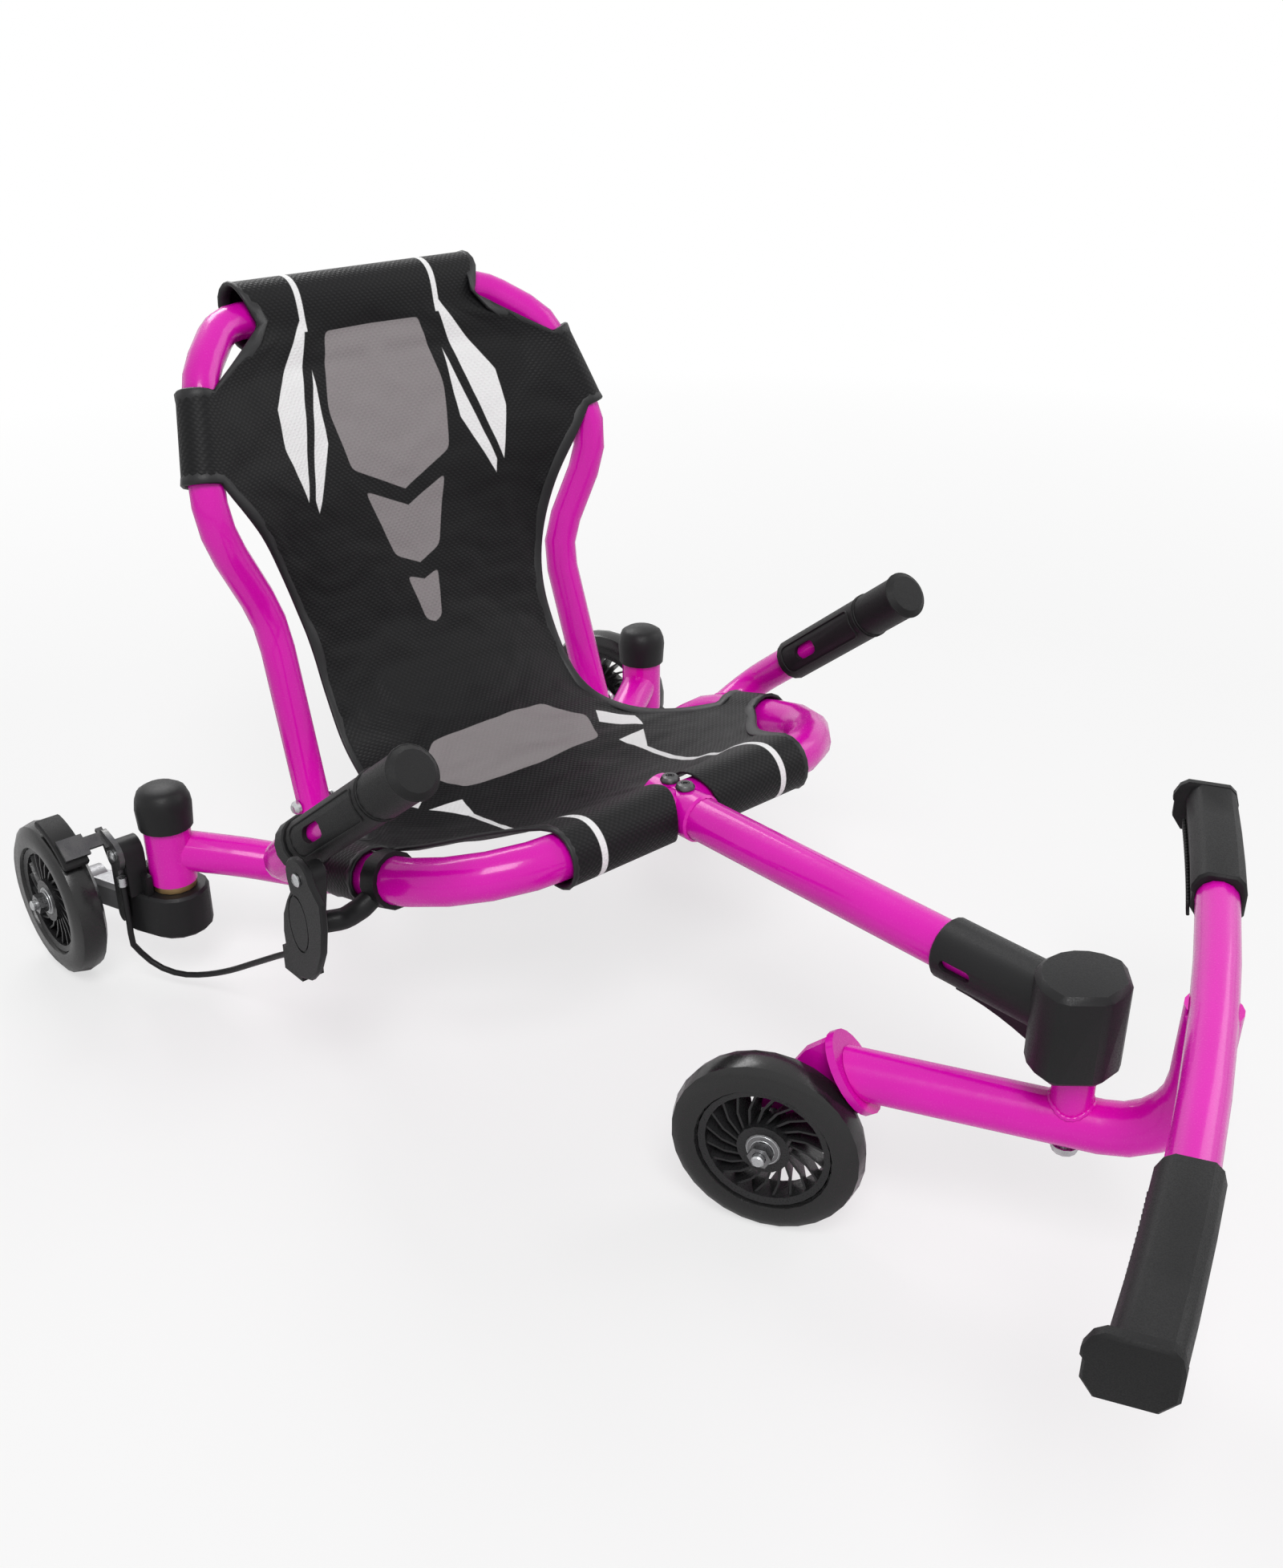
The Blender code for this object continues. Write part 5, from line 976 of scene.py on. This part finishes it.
edge_source = bmesh.new()
edge_source.from_mesh(cloth_mesh)
finer = seat_cloth.modifiers.new("finer", "SUBSURF")
finer.levels = 1
finer.render_levels = 1
for _ in range(2):
    seat_cloth.data.materials.append(None)
thick = seat_cloth.modifiers.new("thick", "SOLIDIFY")
thick.thickness = CLOTH_THICKNESS
thick.offset = 0
thick.material_offset = 1
arch_bm = bmesh.new()
bmesh.ops.create_cone(
    arch_bm,
    cap_ends=True,
    segments=ARCH_SEGMENTS,
    radius1=1,
    radius2=1,
    depth=ARCH_REAR_Y - ARCH_FRONT_Y,
)
arch_bm.transform(Matrix.Diagonal((ARCH_HALF_WIDTH, ARCH_HALF_HEIGHT, 1, 1)))
arch_middle = place(0, (ARCH_REAR_Y + ARCH_FRONT_Y) / 2, FRONT_Z)
arch_bm.transform(Matrix.Translation(arch_middle) @ Matrix.Rotation(math.pi / 2, 4, "X"))
arch = object_from("arch_cutter", arch_bm, None)
arch.hide_render = True
arch.hide_viewport = True
opening = seat_cloth.modifiers.new("arch", "BOOLEAN")
opening.operation = "DIFFERENCE"
opening.solver = "EXACT"
opening.object = arch
apply_modifiers(seat_cloth)
bpy.data.objects.remove(arch)
print("cloth faces", len(seat_cloth.data.polygons))

# %% [markdown]
# A smooth binding tape is folded over every cut edge of the panel. The open edges of the grid,
# from before it had thickness, are followed one loop at a time, and a flat folded section is
# carried along each.

# %% Binding tape
TAPE_WIDTH = 0.0080
TAPE_PROUD = 0.0007
TAPE_EDGE = 0.0010
TAPE_BEVEL = 0.0008
TAPE_LIP, TAPE_SHOULDER = 0.2, 0.8
SHORTEST_LOOP = 8


def boundary_loops(bm):
    """Rings of corners along the open edges, each begun at its first edge in the mesh."""
    edges = dict.fromkeys(edge for edge in bm.edges if edge.is_boundary)
    loops = []
    while edges:
        edge = next(iter(edges))
        del edges[edge]
        loop = [edge.verts[0], edge.verts[1]]
        while loop[-1] != loop[0]:
            following = next((e for e in loop[-1].link_edges if e in edges), None)
            if following is None:
                break
            del edges[following]
            loop.append(following.other_vert(loop[-1]))
        loops.append(loop[:-1] if loop[-1] == loop[0] else loop)
    return loops


def inward_at(vertex, tangent):
    """The way from an open edge into the cloth."""
    middle = Vector()
    for face in vertex.link_faces:
        middle += face.calc_center_median()
    way = middle / len(vertex.link_faces) - vertex.co
    way -= tangent * way.dot(tangent)
    return way.normalized()


def smoothed(values, times):
    """Directions round a ring, each eased towards its two neighbours."""
    for _ in range(times):
        values = [
            (values[i - 1] + values[i] * 2 + values[(i + 1) % len(values)]).normalized()
            for i in range(len(values))
        ]
    return values


def tape_profile():
    """The tape's section, as (into the cloth, off its middle), from one side round the fold."""
    half = CLOTH_THICKNESS / 2
    side = [
        (TAPE_WIDTH, half + TAPE_PROUD * TAPE_LIP),
        (TAPE_WIDTH - TAPE_BEVEL, half + TAPE_PROUD * TAPE_SHOULDER),
        (TAPE_WIDTH / 2, half + TAPE_PROUD),
        (0.0, half + TAPE_PROUD * TAPE_SHOULDER),
    ]
    return side + [(-TAPE_EDGE, 0.0)] + [(into, -off) for into, off in reversed(side)]


def tape_along(bm, loop):
    profile = tape_profile()
    count = len(loop)
    tangents = [(loop[(i + 1) % count].co - loop[i - 1].co).normalized() for i in range(count)]
    inward = smoothed([inward_at(v, t) for v, t in zip(loop, tangents)], 2)
    normals = smoothed([v.normal.copy() for v in loop], 1)
    rings = []
    for vertex, way, normal in zip(loop, inward, normals):
        normal = (normal - way * normal.dot(way)).normalized()
        section = [vertex.co + way * into + normal * off for into, off in profile]
        rings.append([bm.verts.new(point) for point in section])
    for i in range(count):
        ring, following = rings[i], rings[(i + 1) % count]
        for k in range(len(ring)):
            j = (k + 1) % len(ring)
            bm.faces.new((ring[k], ring[j], following[j], following[k]))


edge_source.normal_update()
tape_bm = bmesh.new()
loops = [loop for loop in boundary_loops(edge_source) if len(loop) > SHORTEST_LOOP]
for loop in loops:
    tape_along(tape_bm, loop)
bmesh.ops.recalc_face_normals(tape_bm, faces=tape_bm.faces)
edge_source.free()
binding = object_from("seat_binding", tape_bm)
print("binding loops", [len(loop) for loop in loops])

# %% [markdown]
# ### Cloth finish
# The cloth is a ribbed black weave. Two sine waves, across and down the flat cloth, cross to give
# threads that pass over and under, and the wave down the cloth adds the rib. It is a node group,
# because the printed side and the plain side both need it.

# %% Weave group
RIB_SHARE = 0.35
weave_group, start, end = new_group(
    "weave",
    [("Vector", "NodeSocketVector", None), ("Pitch", "NodeSocketFloat", 0.001)],
    [("Height", "NodeSocketFloat"), ("Thread", "NodeSocketFloat")],
)
axes = weave_group.nodes.new("ShaderNodeSeparateXYZ")
weave_group.links.new(start.outputs["Vector"], axes.inputs[0])
turns = add_math(weave_group, "DIVIDE", math.pi, start.outputs["Pitch"])
waves = []
for axis in (0, 1):
    phase = add_math(weave_group, "MULTIPLY", axes.outputs[axis], turns)
    waves.append(add_math(weave_group, "SINE", phase))
crossing = add_math(weave_group, "MULTIPLY", waves[0], waves[1])
over = add_math(weave_group, "MULTIPLY_ADD", crossing, 0.5, 0.5)
rib = add_math(weave_group, "MULTIPLY", waves[1], waves[1])
height = add_math(weave_group, "MULTIPLY_ADD", rib, RIB_SHARE, over)
weave_group.links.new(height, end.inputs["Height"])
weave_group.links.new(over, end.inputs["Thread"])
print("group:", weave_group.name)

# %% [markdown]
# The print is a grey panel, white blades and thin stripes. Flat shapes on cloth are cheapest as
# masks: each shape is a polygon whose sides are straight lines on the flat cloth. The distance to
# the nearest side tells inside from outside, and a smooth minimum rounds the corners. The print
# is the same left and right, so it reads the distance from the middle.

# %% Print on the cloth
# Corners are (distance from the middle, distance down the cloth), in metres, going round with
# the shape on the left of each side.
GREY_SHAPES = [
    [(-0.01, 0.122), (0.040, 0.122), (0.052, 0.175), (0.044, 0.222), (-0.01, 0.250)],
    [(-0.01, 0.262), (0.036, 0.240), (0.020, 0.292), (-0.01, 0.306)],
    [(-0.01, 0.318), (0.014, 0.309), (0.007, 0.345), (-0.01, 0.352)],
    [(-0.01, 0.440), (0.052, 0.440), (0.078, 0.464), (0.064, 0.496), (-0.01, 0.502)],
]
WHITE_SHAPES = [
    [(0.0560, 0.112), (0.0600, 0.112), (0.0960, 0.168), (0.0980, 0.196), (0.0880, 0.236)],
    [(0.0570, 0.148), (0.0820, 0.236), (0.0800, 0.246), (0.0590, 0.200)],
    [(0.0555, -0.010), (0.0600, -0.010), (0.0600, 0.120), (0.0555, 0.120)],
    [(0.0800, 0.478), (0.0920, 0.462), (0.1150, 0.482), (0.1060, 0.500)],
    [(0.0740, 0.508), (0.1010, 0.506), (0.0840, 0.530), (0.0790, 0.530)],
    [(0.0790, 0.520), (0.0840, 0.520), (0.0840, 0.716), (0.0790, 0.716)],
]
GREY_ROUNDING = 0.006
WHITE_ROUNDING = 0.0008
PRINT_EDGE = 0.0006


def shape_mask(tree, across, down, corners, rounding):
    """1 inside a convex shape with rounded corners, 0 outside."""
    nearest = None
    for (x0, y0), (x1, y1) in zip(corners, corners[1:] + corners[:1]):
        length = math.hypot(x1 - x0, y1 - y0)
        nx, ny = -(y1 - y0) / length, (x1 - x0) / length
        part = add_math(tree, "MULTIPLY_ADD", down, ny, -(x0 * nx + y0 * ny))
        inside = add_math(tree, "MULTIPLY_ADD", across, nx, part)
        if nearest is None:
            nearest = inside
        else:
            nearest = add_math(tree, "SMOOTH_MIN", nearest, inside, rounding)
    return add_math(tree, "MULTIPLY_ADD", nearest, 1 / PRINT_EDGE, 0.5, clamp=True)


print_group, start, end = new_group(
    "seat_print",
    [("Vector", "NodeSocketVector", None)],
    [("Grey", "NodeSocketFloat"), ("White", "NodeSocketFloat")],
)
axes = print_group.nodes.new("ShaderNodeSeparateXYZ")
print_group.links.new(start.outputs["Vector"], axes.inputs[0])
across = add_math(print_group, "ABSOLUTE", axes.outputs[0])
for label, shapes, rounding in (
    ("Grey", GREY_SHAPES, GREY_ROUNDING),
    ("White", WHITE_SHAPES, WHITE_ROUNDING),
):
    total = None
    for corners in shapes:
        mask = shape_mask(print_group, across, axes.outputs[1], corners, rounding)
        total = mask if total is None else add_math(print_group, "MAXIMUM", total, mask)
    print_group.links.new(total, end.inputs[label])
print("print shapes", len(GREY_SHAPES) + len(WHITE_SHAPES))

# %% [markdown]
# The woven cloth takes its threads from the weave group and its print from the mask group. Where a
# thread dips under another, the colour is darker, as painted shade in the weave's hollows. Its back
# is the same cloth without the print, as on real printed cloth. Little light comes off it: a low
# specular level and a trace of sheen keep the folds readable.

# %% Woven cloth
WEAVE_PITCH = 0.0021
WEAVE_DEPTH = 0.00022
TONE_SIZE = 0.05
CLOTH_TONES = [(0.0055, 0.0055, 0.0062, 1), (0.0085, 0.0085, 0.0092, 1)]
# Painted shade: the darker colour of the weave's hollows, where one thread dips under another.
PAINTED_WEAVE_SHADE = (0.0025, 0.0025, 0.003, 1)
GREY_PRINT = (0.300, 0.275, 0.280, 1)
WHITE_PRINT = (0.97, 0.97, 0.97, 1)


def mix_colors(tree, factor, first, second):
    node = tree.nodes.new("ShaderNodeMix")
    node.data_type = "RGBA"
    tree.links.new(factor, node.inputs["Factor"])
    for slot, value in (("A", first), ("B", second)):
        if isinstance(value, tuple):
            node.inputs[slot].default_value = value
        else:
            tree.links.new(value, node.inputs[slot])
    return node.outputs["Result"]


def woven(name, with_print):
    """The seat's woven cloth, with or without the print, which is on its front side only."""
    material, tree, shader = new_material(name)
    uv_node = tree.nodes.new("ShaderNodeUVMap")
    uv_node.uv_map = "flat_cloth"
    uv = uv_node.outputs[0]
    weave = use_group(tree, weave_group, Vector=uv, Pitch=WEAVE_PITCH)
    shade = use_group(
        tree,
        blotch_group,
        Vector=object_place(tree),
        Size=TONE_SIZE,
        Color_A=CLOTH_TONES[0],
        Color_B=CLOTH_TONES[1],
    )
    # The weave's hollows take the darker colour, which is painted shade.
    color = mix_colors(tree, weave.outputs["Thread"], PAINTED_WEAVE_SHADE, shade.outputs["Color"])
    if with_print:
        pattern = use_group(tree, print_group, Vector=uv)
        color = mix_colors(tree, pattern.outputs["Grey"], color, GREY_PRINT)
        color = mix_colors(tree, pattern.outputs["White"], color, WHITE_PRINT)
    tree.links.new(color, shader.inputs["Base Color"])
    roughened(tree, shader, weave.outputs["Thread"], 0.62, 0.46)
    shader.inputs["Sheen Weight"].default_value = 0.02
    shader.inputs["Specular IOR Level"].default_value = 0.20
    add_bump(tree, shader, weave.outputs["Height"], WEAVE_DEPTH)
    return material


seat_cloth.data.materials[0] = woven("plain_seat_cloth", False)
seat_cloth.data.materials[1] = woven("printed_seat_cloth", True)
fronts = [face for face in seat_cloth.data.polygons if face.material_index == 1]
print("printed faces", len(fronts), "of", len(seat_cloth.data.polygons))

# %% [markdown]
# The binding tape is a smoother and slightly glossier black than the cloth, so a thin light line
# follows the seat's edge. Very fine grain stands for its ribs.

# %% Binding tape finish
TAPE_GRAIN = 0.0005
TAPE_DEPTH = 0.00012
tape_material, tree, shader = new_material("binding_tape")
where = object_place(tree)
tinted(tree, shader, where, 0.02, (0.006, 0.006, 0.007, 1), (0.010, 0.010, 0.011, 1))
shader.inputs["Specular IOR Level"].default_value = 0.40
ribs = use_group(tree, grain_group, Vector=where, Size=TAPE_GRAIN)
roughened(tree, shader, ribs.outputs["Mask"], 0.38, 0.52)
add_bump(tree, shader, ribs.outputs["Height"], TAPE_DEPTH)
binding.data.materials.append(tape_material)
print("tape finish:", tape_material.name)

# %% [markdown]
# The cloth stands for the imported model's seat cover and rides on the frame. The mesh has two
# sides, so half its area is that of the cut.

# %% The seat cloth rides on the frame
seat_cloth.data.polygons.foreach_set("use_smooth", [True] * len(seat_cloth.data.polygons))
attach(seat_cloth, "frame")
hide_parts("seat_cover")

# %% [markdown]
# ## Small details
# Round beads do several jobs here: the weld where one tube meets another, the raised rim of a
# moulded panel on a grip, a foot peg's teeth and the rings on a bearing. One function carries a
# round section along a closed or open line of points, with an optional ripple for a weld.

# %% Bead maker
BEAD_SIDES = 8
FINE_SIDES = 6


def add_bead(bm, points, radius, closed=True, sides=BEAD_SIDES, ripple=0.0, waves=0):
    """A round bead along a line. A ripple makes it thicker and thinner in waves."""
    count = len(points)
    rings = []
    normal = None
    for i, point in enumerate(points):
        before = points[i - 1] if closed or i else points[i]
        after = points[(i + 1) % count] if closed or i < count - 1 else points[i]
        way = (after - before).normalized()
        if normal is None:
            normal = way.orthogonal().normalized()
        normal = (normal - way * normal.dot(way)).normalized()
        side = way.cross(normal)
        size = radius * (1 + ripple * math.sin(math.tau * waves * i / count))
        ring = []
        for k in range(sides):
            angle = math.tau * k / sides
            out = normal * math.cos(angle) + side * math.sin(angle)
            ring.append(bm.verts.new(point + out * size))
        rings.append(ring)
    for ring, following in zip(rings, rings[1:]):
        for k in range(sides):
            j = (k + 1) % sides
            bm.faces.new((ring[k], ring[j], following[j], following[k]))
    if closed:
        first, last = rings[0], rings[-1]
        shift = min(range(sides), key=lambda j: (last[0].co - first[j].co).length)
        for k in range(sides):
            a, b = first[(k + shift) % sides], first[(k + 1 + shift) % sides]
            bm.faces.new((last[k], last[(k + 1) % sides], b, a))
    else:
        bm.faces.new(rings[0][::-1])
        bm.faces.new(rings[-1])


print("bead sides", BEAD_SIDES, "and on fine beads", FINE_SIDES)

# %% [markdown]
# A weld lies where a branch tube's surface runs into the main tube. Rays start on a ring round
# the branch, run along it towards the main tube, and the points that they hit are the weld line.
# On the frame, each side has a weld where the handle's tube meets the side tube, and one where
# the stay to the rear wheel does. Each is given by two points on the branch's own middle line.

# %% Welds on the frame
WELD_RADIUS = 0.0017
WELD_RIPPLE = 0.14
POINTS_PER_WAVE = 3
WELD_POINTS = 72
SHORTEST_RUN = 5
HANDLE_TUBE = 0.0254
STAY_TUBE = 0.0300
WELD_LINES = [
    ((0.2130, 0.0832, 0.1425), (0.183, 0.076, 0.1402), HANDLE_TUBE),
    ((0.2050, 0.2080, 0.1015), (0.1385, 0.158, 0.080), STAY_TUBE),
]


def tree_of(name):
    """A search tree of a solid, for casting rays at it."""
    graph = bpy.context.evaluated_depsgraph_get()
    mesh = nodes[name].evaluated_get(graph).data
    matrix = nodes[name].matrix_world
    points = [matrix @ v.co for v in mesh.vertices]
    return BVHTree.FromPolygons(points, [tuple(p.vertices) for p in mesh.polygons])


def weld_runs(start, end, radius, target):
    """Lists of points, one list for each unbroken stretch of the ring that meets the target."""
    way = (end - start).normalized()
    normal = way.orthogonal().normalized()
    side = way.cross(normal)
    reach = (end - start).length
    hits = []
    for i in range(WELD_POINTS):
        angle = math.tau * i / WELD_POINTS
        ring = start + (normal * math.cos(angle) + side * math.sin(angle)) * radius
        hits.append(target.ray_cast(ring, way, reach)[0])
    if None not in hits:
        return [hits]
    gap = hits.index(None)
    runs = [[]]
    for hit in hits[gap:] + hits[:gap]:
        if hit is None:
            if runs[-1]:
                runs.append([])
        else:
            runs[-1].append(hit)
    return [run for run in runs if len(run) > SHORTEST_RUN]


def add_weld(bm, start, end, tube, target):
    runs = weld_runs(start, end, tube / 2, target)
    for run in runs:
        closed = len(run) == WELD_POINTS
        waves = max(3, len(run) // POINTS_PER_WAVE)
        add_bead(bm, run, WELD_RADIUS, closed, ripple=WELD_RIPPLE, waves=waves)
    print("weld of", [len(run) for run in runs], "points")


def on_side(side, point):
    """A point of the left half, or its mirror image on the right where side is -1."""
    return place(side * point[0], point[1], point[2])


welds = bmesh.new()
frame_tree = tree_of("seat_frame")
for side in (1, -1):
    for start, end, tube in WELD_LINES:
        add_weld(welds, on_side(side, start), on_side(side, end), tube, frame_tree)
weld_beads = object_from("frame_welds", welds)
weld_beads.data.materials.append(paint)

# %% [markdown]
# The steering bar is turned, so its own directions come from its joints: its wheel's axle points
# sideways, and forward is square to that. Its welds lie round the tube that rises to the foot bar
# and round the pivot's post.

# %% Welds on the steering bar
FOOT_BAR_N = 0.064
SWING_TUBE = 0.031
FOOT_WELD_Z = (0.150, 0.200)
POST_DIAMETER = 0.024
POST_WELD_Z = (0.140, 0.108)
UP = Vector((0, 0, 1))
bar_side = Vector(joints["front_wheel_spin"]["axis"])
bar_way = bar_side.cross(UP).normalized()
pivot_foot = Vector((pivot.x, pivot.y, 0))
foot_point = pivot_foot + bar_way * FOOT_BAR_N
swing_welds = bmesh.new()
for foot, heights, tube, target in (
    (foot_point, FOOT_WELD_Z, SWING_TUBE, "foot_bar"),
    (pivot_foot, POST_WELD_Z, POST_DIAMETER, "swing_bar"),
):
    start, end = (foot + UP * z for z in heights)
    add_weld(swing_welds, start, end, tube, tree_of(target))
steering_welds = object_from("steering_welds", swing_welds, "steering_bar")
steering_welds.data.materials.append(paint)

# %% [markdown]
# Each grip carries a moulded panel: a raised rim in the shape of a long rounded rectangle,
# lying on the round sleeve, on its outer side and on its inner side. The rim is drawn flat, as
# distance along the grip and distance round it, and wrapped on. Thin rings near the grip's end
# are drawn and wrapped in the same way.

# %% Grip panels
GRIP_DIAMETER = 0.0325
HANDLE_BEND = (0.2255, 0.0900, 0.1455)
GRIP_END = (0.2130, -0.0841, 0.2806)
PANEL_FROM_END = (0.052, 0.140)
PANEL_HALF_ROUND = 0.0115
PANEL_CORNER = 0.005
CORNER_STEPS = 6
RIM_STEP = 0.003
RIM_RADIUS = 0.0007
# Each ring is (distance from the grip's end, how far its middle stands off the sleeve).
GRIP_RINGS = [(0.0035, 0.0004), (0.0440, -0.0001), (0.0465, -0.0001)]
RING_POINTS = 48


def rounded_rectangle(low, high, half, corner):
    """Points round a rounded rectangle: (along, round) pairs."""
    points = []
    for centre, start in (
        ((high - corner, half - corner), 0),
        ((low + corner, half - corner), 90),
        ((low + corner, -half + corner), 180),
        ((high - corner, -half + corner), 270),
    ):
        for i in range(CORNER_STEPS + 1):
            angle = math.radians(start + 90 * i / CORNER_STEPS)
            points.append((centre[0] + corner * math.cos(angle), centre[1] + corner * math.sin(angle)))
    dense = []
    for first, second in zip(points, points[1:] + points[:1]):
        pieces = max(1, round(math.dist(first, second) / RIM_STEP))
        for i in range(pieces):
            share = i / pieces
            dense.append(tuple(a + (b - a) * share for a, b in zip(first, second)))
    return dense


def wrap_on(start, way, facing, radius, flat):
    """Flat (along, round) pairs wrapped on a cylinder, with round 0 towards facing."""
    facing = (facing - way * facing.dot(way)).normalized()
    side = way.cross(facing)
    wrapped = []
    for along, around in flat:
        angle = around / radius
        out = facing * math.cos(angle) + side * math.sin(angle)
        wrapped.append(start + way * along + out * radius)
    return wrapped


grip_rims = bmesh.new()
grip_radius = GRIP_DIAMETER / 2
rim = rounded_rectangle(*PANEL_FROM_END, PANEL_HALF_ROUND, PANEL_CORNER)
for side in (1, -1):
    end = on_side(side, GRIP_END)
    way = (on_side(side, HANDLE_BEND) - end).normalized()
    for facing in (Vector((1, 0, 0)), Vector((-1, 0, 0))):
        add_bead(grip_rims, wrap_on(end, way, facing, grip_radius, rim), RIM_RADIUS)
    for from_end, proud in GRIP_RINGS:
        turn = [(from_end, grip_radius * math.tau * i / RING_POINTS) for i in range(RING_POINTS)]
        add_bead(grip_rims, wrap_on(end, way, UP, grip_radius + proud, turn), RIM_RADIUS)
grip_details = object_from("grip_rims", grip_rims)
grip_details.data.materials.append(grip_rubber)
print("grip rims", len(rim), "points round a panel")

# %% [markdown]
# The rear lower edge of each foot peg has a comb of small teeth that grip a shoe's sole. They
# are short blunt bars in a row. The foot bar is slightly bowed, so each tooth finds the bar's
# middle first, in the steering bar's own directions: forward, to the left, and up.

# %% Foot peg teeth
FOOT_BAR_Z = 0.200
FOOT_BAR_SHIFT = -0.0175
FOOT_BAR_HALF = 0.249
FOOT_BAR_SAG = 0.014
PEG_START = 0.130
PEG_WIDTH = 0.0315
PEG_HEIGHT = 0.0335
TOOTH_PITCH = 0.0040
TOOTH_RADIUS = 0.0011
TOOTH_FROM_START = 0.004
TOOTH_FROM_END = 0.010
# Each point of a tooth is (share of the peg's height below the bar's middle, lean forwards).
TOOTH_POINTS = [(0.18, 0.0), (0.32, 0.0004), (0.46, 0.0012)]


def on_steering_bar(forward, left, z):
    return Vector((pivot.x, pivot.y, z)) + bar_way * forward + bar_side * left


teeth = bmesh.new()
tooth_count = 0
for side in (1, -1):
    along = PEG_START + TOOTH_FROM_START
    while along < FOOT_BAR_HALF - TOOTH_FROM_END:
        middle = FOOT_BAR_N - FOOT_BAR_SAG * (along / FOOT_BAR_HALF) ** 2
        rear = middle - PEG_WIDTH / 2
        left = side * along + FOOT_BAR_SHIFT
        line = [
            on_steering_bar(rear + lean, left, FOOT_BAR_Z - PEG_HEIGHT * down)
            for down, lean in TOOTH_POINTS
        ]
        add_bead(teeth, line, TOOTH_RADIUS, closed=False, sides=FINE_SIDES)
        along += TOOTH_PITCH
        tooth_count += 1
peg_teeth = object_from("peg_teeth", teeth, "steering_bar")
peg_teeth.data.materials.append(grip_rubber)
print("teeth", tooth_count)

# %% [markdown]
# The clamp's two screws have a hexagonal socket. A thin six-sided lip is set in the top of each
# button head, at the size of the key that turns it.

# %% Screw sockets
SCREWS = ("beam_screw_rear", "beam_screw_front")
SOCKET_FLATS = 0.0040
LIP_RADIUS = 0.0004
LIP_SINK = 0.0002
lips = bmesh.new()
for name in SCREWS:
    low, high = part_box(name)
    middle = Vector(((low[0] + high[0]) / 2, (low[1] + high[1]) / 2, high[2]))
    corners = [
        middle + Vector((math.cos(a), math.sin(a), 0)) * SOCKET_FLATS / math.sqrt(3)
        for a in [math.tau * i / 6 for i in range(6)]
    ]
    lip = []
    for a, b in zip(corners, corners[1:] + corners[:1]):
        lip += [a, a.lerp(b, 0.5)]
    add_bead(lips, [p - UP * LIP_SINK for p in lip], LIP_RADIUS, sides=FINE_SIDES)
sockets = object_from("screw_sockets", lips)
sockets.data.materials.append(dark_steel)
print("screw sockets", len(SCREWS))

# %% [markdown]
# Every wheel's bearing has a pressed shield with two fine rings, which catch the light. Rays
# along the axle, from both sides, find where the rings lie on the bearing.

# %% Bearing shields
SHIELD_RADII = (0.0072, 0.0098)
SHIELD_POINTS = 40
SHIELD_WIRE = 0.00045
RAY_START = 0.03
for wheel in ("front_wheel", "left_wheel", "right_wheel"):
    spin = joints[f"{wheel}_spin"]
    hub_centre = Vector(spin["pos_m"])
    axle = Vector(spin["axis"]).normalized()
    side_way = axle.cross(UP)
    bearing = wheel.replace("wheel", "bearing")
    bearing_tree = tree_of(bearing)
    rings = bmesh.new()
    for facing in (1, -1):
        for radius in SHIELD_RADII:
            ring = []
            for i in range(SHIELD_POINTS):
                angle = math.tau * i / SHIELD_POINTS
                off = (UP * math.cos(angle) + side_way * math.sin(angle)) * radius
                start = hub_centre + off + axle * facing * RAY_START
                ring.append(bearing_tree.ray_cast(start, -axle * facing)[0])
            if None not in ring:
                add_bead(rings, ring, SHIELD_WIRE, sides=FINE_SIDES)
    print(bearing, "ring corners", len(rings.verts))
    shield = object_from(f"{bearing}_rings", rings, wheel)
    shield.data.materials.append(zinc)

# %% Update the scene
bpy.context.view_layer.update()
